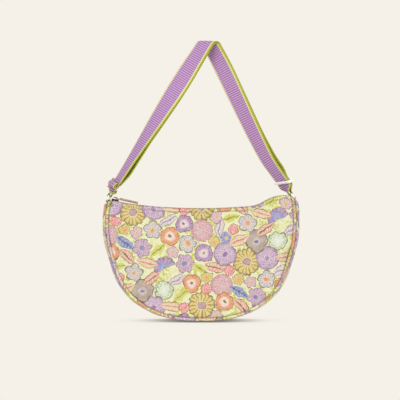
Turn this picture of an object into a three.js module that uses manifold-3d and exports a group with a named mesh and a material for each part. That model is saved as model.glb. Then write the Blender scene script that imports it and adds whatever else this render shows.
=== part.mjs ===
// A half-moon shoulder bag of printed cotton on a doubled, adjustable webbing strap.
// Millimetres, +Z up, +X to the viewer's right, +Y away from the viewer. The bag hangs: the origin
// is the underside of the strap where it folds over the peg that carries it.
import * as THREE from 'three';
import { mergeVertices } from 'three/addons/utils/BufferGeometryUtils.js';
import Module from 'manifold-3d';

const wasm = await Module();
wasm.setup();

// Hang point, measured from the middle of the bag's bottom
const HANG = { x: 11, z: 425 };
const PEG_RADIUS = 3;
// The peg comes forward and down a little at its right end, so the strap lies turned where it folds
const PEG_TURN = THREE.MathUtils.degToRad(35);
const PEG_SLOPE = THREE.MathUtils.degToRad(5);

// Bag outline from the front: a superellipse whose lower half is deeper than its upper half.
// The crest is the middle line of the gusset, and the seam is where gusset and panel meet.
const WIDEST_HEIGHT = 150;
// The sides draw in a little below the widest place: share of the width, height and reach
const TAPER = { share: 0.027, height: 87, reach: 33 };
const OUTLINE_POWER = 2 / 2.4;
const CREST = { halfWidth: 150, drop: 150, rise: 106.4 };
const SEAM = { halfWidth: 142.5, drop: 146.5, rise: 97 };
const CORNER_ANGLE = THREE.MathUtils.degToRad(105);
const CORNER_HALF_DEPTH = 22;
const BOTTOM_HALF_DEPTH = 36;
// How much shorter the gusset is along its middle, to leave room for the tabs and rings
const TAB_NOTCH = THREE.MathUtils.degToRad(4.6);
// The right corner is pulled up by its strap, most of all a little way in from the corner
const RIGHT_LIFT = { height: 11, from: 78, full: 118, fallFrom: 122, fallTo: 150, fall: 0.6 };
const ZIP_LIFT = 0.5;

// Cloth
const CLOTH = 2;
const PIPING_RADIUS = 2.1;
const GAP = 0.3;
const SEAM_INSET = PIPING_RADIUS + GAP;
const PANEL_INSET = SEAM_INSET + 0.95;
const GUSSET_INSET = SEAM_INSET + 0.4;
const PANEL_SWELL = 16;
const PANEL_CORNER_ANGLE = THREE.MathUtils.degToRad(104);
const PANEL_TOP_HALF_WIDTH = 134.8;

// Slack places in the two panels: centre, reach and depth
const DENTS = [
  { x: -106, z: 150, wide: 13, tall: 28, depth: 3.2 },
  { x: 108, z: 154, wide: 12, tall: 32, depth: 3.6 },
  { x: -64, z: 38, wide: 30, tall: 11, depth: 1.6 },
  { x: 72, z: 44, wide: 26, tall: 12, depth: 2.0 },
  { x: -20, z: 158, wide: 50, tall: 9, depth: 1.4 },
];

// Mouth of the bag: panel top edge, zip and the strips beside it
const TOP_EDGE = { height: 170.7, rise: 10.8, middleDepth: 13, endDepth: 22 };
const ZIP = { height: 167.5, rise: 15, halfLength: 138.5, tape: 1, tapeHalf: 8 };
const COIL = { half: 2.8, height: 2 };
const STRIP = { thickness: 1.5, innerEdge: 5.8, panelClearance: 1.8, halfLength: 135 };

// Zip slider and its hinged pull
const SLIDE = { x: -132.5, length: 10.5, halfWidth: 5.2, legInside: 3.2, roof: 2.4, top: 4 };
const BRIDGE = { halfLength: 3.5, wall: 1.2, inside: 2.1, width: 2.4 };
const PULL = { length: 34, width: 8, thickness: 1.6, eyeHalf: 1.9, eyeLength: 5 };
const PIN = { radius: 0.75, x: 1.2 };
const GRIP = { thickness: 3.4, bevel: 0.7 };

// Strap, its rings and its metal fittings
const WEBBING = { width: 30, thickness: 1.5, layer: 1.05 };
const WRAP_RADIUS = PEG_RADIUS + WEBBING.thickness + 0.3;
const WRAP_SLANT = THREE.MathUtils.degToRad(24);
const RING = { wire: 1.3, inside: 32.6, spacing: 8.4, corner: 2.4 };
const TAB = { width: 24, eye: 1.6, outer: 3.2, stemHalf: 1.4, stem: 15 };
const EYE = { inner: 1.6, outer: 3.1 };
const LEFT_TAB = new THREE.Vector3(-142.6, 0, 182.4);
const RIGHT_TAB = new THREE.Vector3(142.6, 0, 186.5);
const LEFT_RING_LEAN = new THREE.Vector3(0.25, 0, 0.968).normalize();
const RIGHT_RING_LEAN = new THREE.Vector3(-0.6, 0, 0.8);
const ADJUSTER = { at: 17.6, pitch: 7.5, bar: 2.2, bevel: 0.4, slot: 31.4, outer: 36.6, offset: 3.4 };
const KEEPER = { at: 21.2, wire: 1.3, inside: 33.4, clear: 2.4, corner: 2.4, tilt: 12 };

// How far the strap is turned edge-on along each leg, by the distance above the ring bar; above the
// last row it turns on until it lies along the peg
const LEFT_TWIST = [
  { above: 2.2, degrees: 90 },
  { above: 8.8, degrees: 65 },
  { above: 27, degrees: 65 },
  { above: 60, degrees: 61 },
  { above: 95, degrees: 53 },
  { above: 152, degrees: 35 },
  { above: 205, degrees: 20 },
];
const RIGHT_TWIST = [
  { above: 3, degrees: 90 },
  { above: 15, degrees: 56 },
  { above: 27, degrees: 56 },
  { above: 94, degrees: 45 },
  { above: 163, degrees: 35 },
  { above: 210, degrees: 30 },
];
// The right leg hangs in a slight bow: how far inwards, where it starts and where it is deepest
const BOW = { depth: 6.2, start: 5, deepest: 70 };
// Length of each leg over which the strap's cross lines swing round to lie along the peg
const SWING = 36;
// Longest step between two cross lines of the strap on a leg, and the largest turn in degrees
const STRAP_STEP = { length: 14, turn: 3 };

// Where each layer of the strap runs: distance above the ring bar, and offset outwards from the
// middle of the doubled strap. The left outer layer weaves through the adjuster.
const MID = WEBBING.thickness / 2;
const EYE_MID = EYE.inner + MID;
const HUMP = ADJUSTER.offset + EYE.outer + GAP + MID;
const LEFT_OUTER = [
  { above: 0, out: EYE_MID },
  { above: 2.4, out: EYE_MID },
  { above: 6, out: 1.4 },
  { above: ADJUSTER.at - 7.4, out: WEBBING.layer },
  { above: ADJUSTER.at - 5.3, out: 1.75 },
  { above: ADJUSTER.at - 4.75, out: ADJUSTER.offset },
  { above: ADJUSTER.at - 3.9, out: 5.6 },
  { above: ADJUSTER.at - 2.2, out: 7.05 },
  { above: ADJUSTER.at, out: HUMP },
  { above: ADJUSTER.at + 2.2, out: 7.05 },
  { above: ADJUSTER.at + 3.9, out: 5.6 },
  { above: ADJUSTER.at + 4.75, out: ADJUSTER.offset },
  { above: ADJUSTER.at + 5.3, out: 1.75 },
  { above: ADJUSTER.at + 7.4, out: WEBBING.layer },
  { above: 32, out: WEBBING.layer },
  { above: 90, out: WEBBING.layer },
  { above: 180, out: WEBBING.layer },
  { above: 267, out: WEBBING.layer },
];
const LEFT_INNER = [
  { above: ADJUSTER.at, out: ADJUSTER.offset - EYE_MID },
  { above: ADJUSTER.at + 2.5, out: 0.55 },
  { above: ADJUSTER.at + 4.5, out: -0.4 },
  { above: ADJUSTER.at + 6.8, out: -1.2 },
  { above: 33, out: -3.2 },
  { above: 45, out: -4.8 },
  { above: 70, out: -3.9 },
  { above: 110, out: -2 },
  { above: 160, out: -1.8 },
  { above: 200, out: -1.4 },
  { above: 240, out: -WEBBING.layer },
  { above: 267, out: -WEBBING.layer },
];
const RIGHT_OUTER = [
  { above: 0, out: EYE_MID },
  { above: 3, out: EYE_MID },
  { above: 7, out: 2 },
  { above: 13, out: 1.35 },
  { above: KEEPER.at, out: WEBBING.layer },
  { above: 26, out: 1.1 },
  { above: 31, out: 2.3 },
  { above: 37, out: 4.3 },
  { above: 46, out: 5.2 },
  { above: 66, out: 4.4 },
  { above: 104, out: 2.1 },
  { above: 150, out: 1.5 },
  { above: 200, out: WEBBING.layer },
  { above: 252, out: WEBBING.layer },
];
const RIGHT_INNER = [
  { above: 0, out: -EYE_MID },
  { above: 3, out: -EYE_MID },
  { above: 7, out: -2 },
  { above: 13, out: -1.35 },
  { above: KEEPER.at, out: -WEBBING.layer },
  { above: 60, out: -WEBBING.layer },
  { above: 150, out: -WEBBING.layer },
  { above: 252, out: -WEBBING.layer },
];

const FRONT = -1;
const BACK = 1;
const LEFT = -1;
const RIGHT = 1;

const vec = (x, y, z) => new THREE.Vector3(x, y, z);
const { lerp, smoothstep } = THREE.MathUtils;

// Mesh helpers

function meshFrom(points, triangles) {
  let volume = 0;
  for (let i = 0; i < triangles.length; i += 3) {
    const [a, b, c] = [0, 1, 2].map((k) => points[triangles[i + k]]);
    volume += a.dot(vec(0, 0, 0).crossVectors(b, c));
  }
  if (volume < 0) triangles.reverse();
  const geometry = new THREE.BufferGeometry().setFromPoints(points);
  geometry.setIndex(triangles);
  geometry.computeVertexNormals();
  return geometry;
}

// A solid through a row of outlines with equal point counts, each one star-shaped from its first point
function skin(outlines, closed = false) {
  const around = outlines[0].length;
  const rows = outlines.length;
  const triangles = [];
  for (let row = 0; row < (closed ? rows : rows - 1); row += 1) {
    for (let i = 0; i < around; i += 1) {
      const a = row * around + i;
      const b = row * around + ((i + 1) % around);
      const c = ((row + 1) % rows) * around + i;
      const d = ((row + 1) % rows) * around + ((i + 1) % around);
      triangles.push(a, b, d, a, d, c);
    }
  }
  if (!closed) {
    const last = (rows - 1) * around;
    for (let i = 1; i < around - 1; i += 1) {
      triangles.push(0, i + 1, i);
      triangles.push(last, last + i, last + i + 1);
    }
  }
  return meshFrom(outlines.flat(), triangles);
}

// A cloth wall of even thickness about a middle surface, surface(u, v) for u and v from 0 to 1
function wall(surface, columns, rows, thickness) {
  const grid = (i, j) => surface(i / columns, j / rows);
  const sides = [[], []];
  for (let i = 0; i <= columns; i += 1) {
    for (let j = 0; j <= rows; j += 1) {
      const middle = grid(i, j);
      const across = grid(Math.min(i + 1, columns), j).sub(grid(Math.max(i - 1, 0), j));
      const up = grid(i, Math.min(j + 1, rows)).sub(grid(i, Math.max(j - 1, 0)));
      const normal = across.cross(up).normalize().multiplyScalar(thickness / 2);
      sides[0].push(middle.clone().add(normal));
      sides[1].push(middle.clone().sub(normal));
    }
  }
  const place = (side, i, j) => side * (columns + 1) * (rows + 1) + i * (rows + 1) + j;
  const triangles = [];
  const quad = (a, b, c, d) => triangles.push(a, b, c, a, c, d);
  for (let i = 0; i < columns; i += 1) {
    for (let j = 0; j < rows; j += 1) {
      quad(place(0, i, j), place(0, i + 1, j), place(0, i + 1, j + 1), place(0, i, j + 1));
      quad(place(1, i, j), place(1, i, j + 1), place(1, i + 1, j + 1), place(1, i + 1, j));
    }
    quad(place(0, i, 0), place(1, i, 0), place(1, i + 1, 0), place(0, i + 1, 0));
    quad(place(0, i, rows), place(0, i + 1, rows), place(1, i + 1, rows), place(1, i, rows));
  }
  for (let j = 0; j < rows; j += 1) {
    quad(place(0, 0, j), place(0, 0, j + 1), place(1, 0, j + 1), place(1, 0, j));
    quad(place(0, columns, j), place(1, columns, j), place(1, columns, j + 1), place(0, columns, j + 1));
  }
  return meshFrom(sides.flat(), triangles);
}

function circle(centre, radius, axisA, axisB, sides) {
  return Array.from({ length: sides }, (_, i) => {
    const turn = (i / sides) * 2 * Math.PI;
    return centre.clone()
      .addScaledVector(axisA, radius * Math.cos(turn))
      .addScaledVector(axisB, radius * Math.sin(turn));
  });
}

// Round wire bent into a rectangle with round corners, in the plane of the axes wide and tall
function wireLoop(centre, wide, tall, halfWidth, halfHeight, corner, wire) {
  const flat = vec(0, 0, 0).crossVectors(wide, tall);
  const outlines = [];
  const cornerSteps = 3;
  [[1, 1], [-1, 1], [-1, -1], [1, -1]].forEach(([a, b], quarter) => {
    for (let step = 0; step <= cornerSteps; step += 1) {
      const turn = (quarter + step / cornerSteps) * Math.PI / 2;
      const outward = wide.clone().multiplyScalar(Math.cos(turn)).addScaledVector(tall, Math.sin(turn));
      const point = centre.clone()
        .addScaledVector(wide, a * (halfWidth - corner))
        .addScaledVector(tall, b * (halfHeight - corner))
        .addScaledVector(outward, corner);
      outlines.push(circle(point, wire, outward, flat, 8));
    }
  });
  return skin(outlines, true);
}

function extruded(shape, depth, matrix, options = {}) {
  const geometry = new THREE.ExtrudeGeometry(shape, { depth, bevelEnabled: false, ...options });
  return geometry.applyMatrix4(matrix);
}

const softened = (bevel, segments) => ({
  bevelEnabled: true,
  bevelSize: bevel,
  bevelThickness: bevel,
  bevelSegments: segments,
});

function joined(geometries) {
  const solids = geometries.map((source) => {
    const geometry = source.clone();
    geometry.deleteAttribute('normal');
    geometry.deleteAttribute('uv');
    const merged = mergeVertices(geometry, 1e-4);
    return new wasm.Manifold(new wasm.Mesh({
      numProp: 3,
      vertProperties: new Float32Array(merged.attributes.position.array),
      triVerts: new Uint32Array(merged.index.array),
    }));
  });
  const whole = solids.reduce((sum, solid) => sum.add(solid)).getMesh();
  const geometry = new THREE.BufferGeometry();
  geometry.setAttribute('position', new THREE.BufferAttribute(whole.vertProperties, 3));
  geometry.setIndex(new THREE.BufferAttribute(whole.triVerts, 1));
  geometry.computeVertexNormals();
  return geometry;
}

// Bag outline

const signedPower = (value) => Math.sign(value) * Math.abs(value) ** OUTLINE_POWER;

// A point of the crest or the seam, by its angle from the bottom
function rim(outline, angle) {
  const reach = Math.cos(angle) > 0 ? outline.drop : outline.rise;
  const height = WIDEST_HEIGHT - reach * signedPower(Math.cos(angle));
  const taper = 1 - TAPER.share * Math.exp(-(((height - TAPER.height) / TAPER.reach) ** 2));
  return vec(outline.halfWidth * taper * signedPower(Math.sin(angle)), 0, height);
}

// A point of the seam, moved into the panel by an inset
function seamInset(angle, inset) {
  const step = 0.002;
  const along = rim(SEAM, angle + step).sub(rim(SEAM, angle - step)).normalize();
  return rim(SEAM, angle).add(vec(-along.z, 0, along.x).multiplyScalar(inset));
}

const seamHalfDepth = (angle) => lerp(
  CORNER_HALF_DEPTH,
  BOTTOM_HALF_DEPTH,
  Math.cos((angle / CORNER_ANGLE) * Math.PI / 2) ** 0.8,
);

function lifted(point, share = 1) {
  const rise = smoothstep(point.x, RIGHT_LIFT.from, RIGHT_LIFT.full);
  const fall = 1 - RIGHT_LIFT.fall * smoothstep(point.x, RIGHT_LIFT.fallFrom, RIGHT_LIFT.fallTo);
  point.z += share * RIGHT_LIFT.height * rise * fall * smoothstep(point.z, 110, 178);
  return point;
}

function topEdge(x) {
  const outward = (x / rim(SEAM, CORNER_ANGLE).x) ** 2;
  return {
    depth: lerp(TOP_EDGE.middleDepth, TOP_EDGE.endDepth, outward),
    z: TOP_EDGE.height + TOP_EDGE.rise * outward,
  };
}

const zipHeight = (x) => ZIP.height + ZIP.rise * (Math.abs(x) / ZIP.halfLength) ** 2.2;

// Cloth pieces

// Front or back: ruled from the seam up to the top edge, then swollen outwards
function panel(side) {
  const fullHeight = TOP_EDGE.height;
  const surface = (u, v) => {
    const angle = lerp(-PANEL_CORNER_ANGLE, PANEL_CORNER_ANGLE, u);
    const low = seamInset(angle, PANEL_INSET).setY(seamHalfDepth(angle));
    const x = lerp(-PANEL_TOP_HALF_WIDTH, PANEL_TOP_HALF_WIDTH, u);
    const edge = topEdge(x);
    const high = vec(x, edge.depth, edge.z);
    const swell = PANEL_SWELL * (low.distanceTo(high) / fullHeight) ** 0.8 * Math.sin(Math.PI * v) ** 0.8;
    const point = low.lerp(high, v);
    const slack = DENTS.reduce((sum, dent) => sum + dent.depth * Math.exp(
      -(((point.x - dent.x) / dent.wide) ** 2) - ((point.z - dent.z) / dent.tall) ** 2,
    ), 0);
    point.y = side * (point.y + swell - slack * Math.sin(Math.PI * v));
    return lifted(point);
  };
  return wall(surface, 36, 12, CLOTH);
}

// The strip round the sides and the bottom, crowned between the two seams
function gusset() {
  const surface = (u, v) => {
    const end = CORNER_ANGLE - TAB_NOTCH * (1 - (2 * v - 1) ** 4);
    const angle = lerp(-end, end, u);
    const seam = rim(SEAM, angle);
    const crown = rim(CREST, angle).sub(seam);
    const halfDepth = seamHalfDepth(angle);
    const edge = 1 - GUSSET_INSET / Math.hypot(halfDepth, 4 * crown.length());
    const across = lerp(-edge, edge, v);
    const point = seam.addScaledVector(crown, 1 - across ** 4);
    point.y = halfDepth * across;
    return lifted(point);
  };
  return wall(surface, 44, 6, CLOTH);
}

function piping(side) {
  const steps = 46;
  const path = (i) => {
    const angle = lerp(-CORNER_ANGLE, CORNER_ANGLE, i / steps);
    return lifted(rim(SEAM, angle).setY(side * seamHalfDepth(angle)));
  };
  const outlines = Array.from({ length: steps + 1 }, (_, i) => {
    const along = path(Math.min(i + 1, steps)).sub(path(Math.max(i - 1, 0))).normalize();
    const inward = vec(0, 1, 0).cross(along).normalize();
    return circle(path(i), PIPING_RADIUS, inward, along.cross(inward), 6);
  });
  return skin(outlines);
}

// Height of the strip's middle line over the zip, at a depth from the zip
function stripHeight(x, depth) {
  const edge = topEdge(x);
  const inner = zipHeight(x) + GAP + STRIP.thickness / 2;
  const reach = (depth - STRIP.innerEdge) / (edge.depth - STRIP.panelClearance - STRIP.innerEdge);
  return lerp(inner, edge.z - 1, reach);
}

function topStrip(side) {
  const surface = (u, v) => {
    const x = lerp(-STRIP.halfLength, STRIP.halfLength, u);
    const depth = lerp(STRIP.innerEdge, topEdge(x).depth - STRIP.panelClearance, v);
    return lifted(vec(x, side * depth, stripHeight(x, depth)), lerp(ZIP_LIFT, 1, v));
  };
  return wall(surface, 22, 2, STRIP.thickness);
}

// Tape and closed coil in one piece; the tape's edges tuck in under the strips
function zip() {
  const steps = 26;
  const outlines = Array.from({ length: steps + 1 }, (_, i) => {
    const x = lerp(-ZIP.halfLength, ZIP.halfLength, i / steps);
    const face = zipHeight(x);
    const under = stripHeight(x, ZIP.tapeHalf) - STRIP.thickness / 2 - GAP;
    const edge = Math.min(face, under - 0.2);
    return [
      [0, face - ZIP.tape],
      [ZIP.tapeHalf, edge - ZIP.tape],
      [ZIP.tapeHalf, edge],
      [COIL.half, face],
      [COIL.half, face + COIL.height],
      [-COIL.half, face + COIL.height],
      [-COIL.half, face],
      [-ZIP.tapeHalf, edge],
      [-ZIP.tapeHalf, edge - ZIP.tape],
    ].map(([y, z]) => lifted(vec(x, y, z), ZIP_LIFT));
  });
  return skin(outlines);
}

// A folded cloth loop whose stem is sewn in between the gusset and the zip's end
function tab(centre) {
  const shape = new THREE.Shape();
  const meet = Math.asin(TAB.stemHalf / TAB.outer);
  shape.moveTo(-TAB.stemHalf, -TAB.stem);
  shape.lineTo(TAB.stemHalf, -TAB.stem);
  shape.absarc(0, 0, TAB.outer, meet - Math.PI / 2, 1.5 * Math.PI - meet, false);
  shape.closePath();
  const hole = new THREE.Path();
  hole.absarc(0, 0, TAB.eye, 0, 2 * Math.PI, true);
  shape.holes.push(hole);
  const basis = new THREE.Matrix4().makeBasis(vec(1, 0, 0), vec(0, 0, 1), vec(0, -1, 0));
  basis.setPosition(centre.x, TAB.width / 2, centre.z);
  return extruded(shape, TAB.width, basis, { curveSegments: 16 });
}

// Strap

const ringBase = (side) => (side === LEFT ? LEFT_TAB : RIGHT_TAB);
const ringLean = (side) => (side === LEFT ? LEFT_RING_LEAN : RIGHT_RING_LEAN);
const ringBar = (side) => ringBase(side).clone().addScaledVector(ringLean(side), RING.spacing);

// The peg that carries the strap: the strap's place on it by the angle turned from front to back
const PEG_CENTRE = vec(HANG.x, 0, HANG.z - PEG_RADIUS);
const PEG_BACK = vec(Math.sin(PEG_TURN), Math.cos(PEG_TURN), 0);
const PEG_ALONG = vec(Math.cos(PEG_TURN), -Math.sin(PEG_TURN), -Math.tan(PEG_SLOPE)).normalize();
const PEG_UP = PEG_ALONG.clone().cross(PEG_BACK);
const pegOut = (turn) => PEG_UP.clone().multiplyScalar(Math.sin(turn))
  .addScaledVector(PEG_BACK, -Math.cos(turn));
const pegPoint = (turn) => PEG_CENTRE.clone()
  .addScaledVector(PEG_ALONG, (turn - Math.PI / 2) * WRAP_RADIUS * Math.tan(WRAP_SLANT))
  .addScaledVector(pegOut(turn), WRAP_RADIUS);

function twistAt(rows, above) {
  const next = rows.findIndex((row) => row.above > above);
  if (next === 0) return rows[0].degrees;
  if (next < 0) return rows[rows.length - 1].degrees;
  const from = rows[next - 1];
  const to = rows[next];
  return lerp(from.degrees, to.degrees, smoothstep(above, from.above, to.above));
}

// One leg of the doubled strap, from a ring's bar to the peg. The left leg passes in
// front of the peg and the right leg behind it. along runs from the left ring to the right ring.
function strapLeg(side) {
  const bar = ringBar(side);
  const reach = PEG_CENTRE.clone().sub(bar);
  const leave = Math.atan2(-side * reach.dot(PEG_BACK), reach.dot(PEG_UP));
  const turn = side === LEFT ? leave : Math.PI - leave;
  const up = pegPoint(turn).sub(bar);
  const length = up.length();
  up.normalize();
  const along = up.clone().multiplyScalar(-side);
  const flat = along.clone().cross(vec(0, side, 0)).normalize();
  const lean = along.dot(PEG_ALONG);
  const onPeg = PEG_ALONG.clone().addScaledVector(along, -lean).normalize();
  const pegTwist = THREE.MathUtils.radToDeg(Math.atan2(-onPeg.y, onPeg.dot(flat)));
  const rows = [...(side === LEFT ? LEFT_TWIST : RIGHT_TWIST), { above: length, degrees: pegTwist }];
  return {
    at(above) {
      const twist = THREE.MathUtils.degToRad(twistAt(rows, above));
      const across = flat.clone().multiplyScalar(Math.cos(twist))
        .addScaledVector(vec(0, -1, 0), Math.sin(twist));
      const swing = smoothstep(above, length - SWING, length) * lean / PEG_ALONG.dot(onPeg);
      const bow = smoothstep(above, BOW.start, BOW.deepest) * (1 - smoothstep(above, BOW.deepest, length));
      return {
        point: bar.clone().addScaledVector(up, above)
          .addScaledVector(flat, side === RIGHT ? -BOW.depth * bow : 0),
        along,
        across,
        cross: across.clone().addScaledVector(along, swing),
        out: across.clone().cross(along).normalize(),
      };
    },
    twist: (above) => twistAt(rows, above),
    lean,
    turn,
  };
}

const leftLeg = strapLeg(LEFT);
const rightLeg = strapLeg(RIGHT);

// Where the strap turns over the peg; it lies aslant, and its cross lines lie along the peg
function wrapAt(step) {
  const turn = lerp(leftLeg.turn, rightLeg.turn, step);
  const lean = lerp(leftLeg.lean, rightLeg.lean, step);
  return {
    point: pegPoint(turn),
    cross: PEG_ALONG.clone().divideScalar(Math.sqrt(1 - lean * lean)),
    out: pegOut(turn),
  };
}

const station = (frame, out) => ({
  point: frame.point.clone().addScaledVector(frame.out, out),
  cross: frame.cross,
});

// Stations along one layer of a leg, two for each row of its table and more where those are far
// apart, so that the two layers bend alike
function layerStations(leg, table) {
  const curve = new THREE.CatmullRomCurve3(table.map((row) => vec(row.above, row.out, 0)));
  const places = curve.getPoints((table.length - 1) * 2);
  const between = places.slice(1).flatMap((place, i) => {
    const turn = Math.abs(leg.twist(place.x) - leg.twist(places[i].x));
    const parts = Math.ceil(Math.max((place.x - places[i].x) / STRAP_STEP.length, turn / STRAP_STEP.turn, 1));
    return Array.from({ length: parts }, (_, k) => places[i].clone().lerp(place, (k + 1) / parts));
  });
  return [places[0], ...between].map((place) => station(leg.at(place.x), place.y));
}

function wrapStations(out) {
  const steps = 8;
  return Array.from({ length: steps + 1 }, (_, i) => station(wrapAt(i / steps), out));
}

// The turn of the strap round the right ring's bar
function foldStations() {
  const steps = 6;
  return Array.from({ length: steps - 1 }, (_, i) => {
    const turn = Math.PI * (i + 1) / steps;
    return station(rightLeg.at(-EYE_MID * Math.sin(turn)), EYE_MID * Math.cos(turn));
  });
}

function band(stations) {
  const last = stations.length - 1;
  const outlines = stations.map(({ point, cross }, i) => {
    const along = stations[Math.min(i + 1, last)].point.clone().sub(stations[Math.max(i - 1, 0)].point);
    const thick = cross.clone().cross(along).normalize().multiplyScalar(MID);
    const wide = cross.clone().multiplyScalar(WEBBING.width / 2);
    return [
      point.clone().add(wide).add(thick),
      point.clone().sub(wide).add(thick),
      point.clone().sub(wide).sub(thick),
      point.clone().add(wide).sub(thick),
    ];
  });
  return skin(outlines);
}

// A sewn end of the strap, turned round a bar
function strapEye(frame, out) {
  const shape = new THREE.Shape().absarc(0, 0, EYE.outer, 0, 2 * Math.PI, false);
  shape.holes.push(new THREE.Path().absarc(0, 0, EYE.inner, 0, 2 * Math.PI, true));
  const basis = new THREE.Matrix4().makeBasis(frame.along, frame.out, frame.across);
  basis.setPosition(frame.point.clone()
    .addScaledVector(frame.out, out)
    .addScaledVector(frame.across, -WEBBING.width / 2));
  return extruded(shape, WEBBING.width, basis, { curveSegments: 14 });
}

// One length of webbing: sewn to the left ring, woven through the adjuster, over the peg, round the
// right ring, back over the peg and sewn to the adjuster's middle bar
function strap() {
  const stations = [
    ...layerStations(leftLeg, LEFT_OUTER),
    ...wrapStations(WEBBING.layer),
    ...layerStations(rightLeg, RIGHT_OUTER).reverse(),
    ...foldStations(),
    ...layerStations(rightLeg, RIGHT_INNER),
    ...wrapStations(-WEBBING.layer).reverse(),
    ...layerStations(leftLeg, LEFT_INNER).reverse(),
  ];
  return joined([
    band(stations),
    strapEye(leftLeg.at(0), 0),
    strapEye(leftLeg.at(ADJUSTER.at), ADJUSTER.offset),
  ]);
}

// Metal fittings

function ring(side) {
  const lean = ringLean(side);
  const centre = ringBase(side).clone().addScaledVector(lean, RING.spacing / 2);
  const halfWidth = RING.inside / 2 + RING.wire;
  return wireLoop(centre, vec(0, 1, 0), lean, halfWidth, RING.spacing / 2, RING.corner, RING.wire);
}

// A plain loop round both layers of the right leg, tilted a little on the strap
function keeper() {
  const frame = rightLeg.at(KEEPER.at);
  const wide = frame.across.clone().applyAxisAngle(frame.out, THREE.MathUtils.degToRad(KEEPER.tilt));
  const halfWidth = KEEPER.inside / 2 + KEEPER.wire;
  const halfHeight = KEEPER.clear + KEEPER.wire;
  return wireLoop(frame.point, wide, frame.out, halfWidth, halfHeight, KEEPER.corner, KEEPER.wire);
}

function rectangle(path, halfWidth, low, high, corner) {
  const turns = [
    [halfWidth, low, 1.5],
    [halfWidth, high, 0],
    [-halfWidth, high, 0.5],
    [-halfWidth, low, 1],
  ];
  turns.forEach(([x, y, start]) => {
    const centreX = x - Math.sign(x) * corner;
    const centreY = y === low ? low + corner : high - corner;
    path.absarc(centreX, centreY, corner, start * Math.PI, (start + 0.5) * Math.PI, false);
  });
  path.closePath();
  return path;
}

// A three-bar slider: the strap passes under its outer bars and over its middle bar
function adjuster() {
  const reach = ADJUSTER.pitch + ADJUSTER.bar / 2 - ADJUSTER.bevel;
  const shape = rectangle(new THREE.Shape(), ADJUSTER.outer / 2 - ADJUSTER.bevel, -reach, reach, 2);
  const near = ADJUSTER.bar / 2 - ADJUSTER.bevel;
  const far = ADJUSTER.pitch - near;
  const slotHalf = ADJUSTER.slot / 2 + ADJUSTER.bevel;
  shape.holes.push(rectangle(new THREE.Path(), slotHalf, near, far, 0.8));
  shape.holes.push(rectangle(new THREE.Path(), slotHalf, -far, -near, 0.8));
  const frame = leftLeg.at(ADJUSTER.at);
  const plate = ADJUSTER.bar - 2 * ADJUSTER.bevel;
  const basis = new THREE.Matrix4().makeBasis(frame.across, frame.along, frame.out);
  basis.setPosition(frame.point.clone().addScaledVector(frame.out, ADJUSTER.offset - plate / 2));
  return extruded(shape, plate, basis, { ...softened(ADJUSTER.bevel, 1), curveSegments: 3 });
}

// The zip's slider stands over the closed coil in its own frame: +x along the zip, z from its face
const acrossZip = new THREE.Matrix4().makeBasis(vec(0, 1, 0), vec(0, 0, 1), vec(1, 0, 0));
const alongZip = new THREE.Matrix4().makeBasis(vec(1, 0, 0), vec(0, 0, 1), vec(0, -1, 0));

function polygon(corners) {
  return new THREE.Shape(corners.map(([x, y]) => new THREE.Vector2(x, y)));
}

function zipSlider() {
  const low = GAP + 0.1;
  const body = polygon([
    [-SLIDE.halfWidth, low], [-SLIDE.legInside, low], [-SLIDE.legInside, SLIDE.roof],
    [SLIDE.legInside, SLIDE.roof], [SLIDE.legInside, low], [SLIDE.halfWidth, low],
    [SLIDE.halfWidth, SLIDE.top - 0.8], [SLIDE.halfWidth - 0.8, SLIDE.top],
    [0.8 - SLIDE.halfWidth, SLIDE.top], [-SLIDE.halfWidth, SLIDE.top - 0.8],
  ]);
  const foot = SLIDE.top - 0.4;
  const roof = SLIDE.top + BRIDGE.inside;
  const inside = BRIDGE.halfLength - BRIDGE.wall;
  const arch = polygon([
    [-BRIDGE.halfLength, foot], [-inside, foot], [-inside, roof], [inside, roof],
    [inside, foot], [BRIDGE.halfLength, foot], [BRIDGE.halfLength, roof],
    [BRIDGE.halfLength - BRIDGE.wall, roof + BRIDGE.wall],
    [BRIDGE.wall - BRIDGE.halfLength, roof + BRIDGE.wall], [-BRIDGE.halfLength, roof],
  ]);
  const bodyPlace = acrossZip.clone().setPosition(-SLIDE.length / 2, 0, 0);
  const archPlace = alongZip.clone().setPosition(0, BRIDGE.width / 2, 0);
  return joined([extruded(body, SLIDE.length, bodyPlace), extruded(arch, BRIDGE.width, archPlace)]);
}

// A pull with a square eye and a plump grip; the eye's end bar is the hinge pin, and it lies at its
// own origin
function zipPuller() {
  const half = PULL.width / 2;
  const rounded = half - GRIP.bevel;
  const grip = new THREE.Shape();
  grip.moveTo(PULL.eyeLength + GRIP.bevel, -rounded);
  grip.lineTo(PULL.length - half, -rounded);
  grip.absarc(PULL.length - half, 0, rounded, -Math.PI / 2, Math.PI / 2, false);
  grip.lineTo(PULL.eyeLength + GRIP.bevel, rounded);
  grip.closePath();
  const gripPlace = new THREE.Matrix4().setPosition(0, 0, GRIP.bevel - PULL.thickness / 2);
  const gripDepth = GRIP.thickness - 2 * GRIP.bevel;
  const plate = new THREE.Shape();
  plate.moveTo(0, -half);
  plate.lineTo(PULL.length - half, -half);
  plate.absarc(PULL.length - half, 0, half, -Math.PI / 2, Math.PI / 2, false);
  plate.lineTo(0, half);
  plate.lineTo(0, PULL.eyeHalf);
  plate.lineTo(PULL.eyeLength, PULL.eyeHalf);
  plate.lineTo(PULL.eyeLength, -PULL.eyeHalf);
  plate.lineTo(0, -PULL.eyeHalf);
  plate.closePath();
  const level = new THREE.Matrix4().setPosition(0, 0, -PULL.thickness / 2);
  const pin = new THREE.CylinderGeometry(PIN.radius, PIN.radius, PULL.width - 0.4, 12);
  return joined([
    extruded(plate, PULL.thickness, level, { curveSegments: 10 }),
    extruded(grip, gripDepth, gripPlace, { ...softened(GRIP.bevel, 2), curveSegments: 10 }),
    pin,
  ]);
}

// Materials and assembly

function material(color, roughness, metalness) {
  return new THREE.MeshStandardMaterial({ color, roughness, metalness });
}

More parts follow.
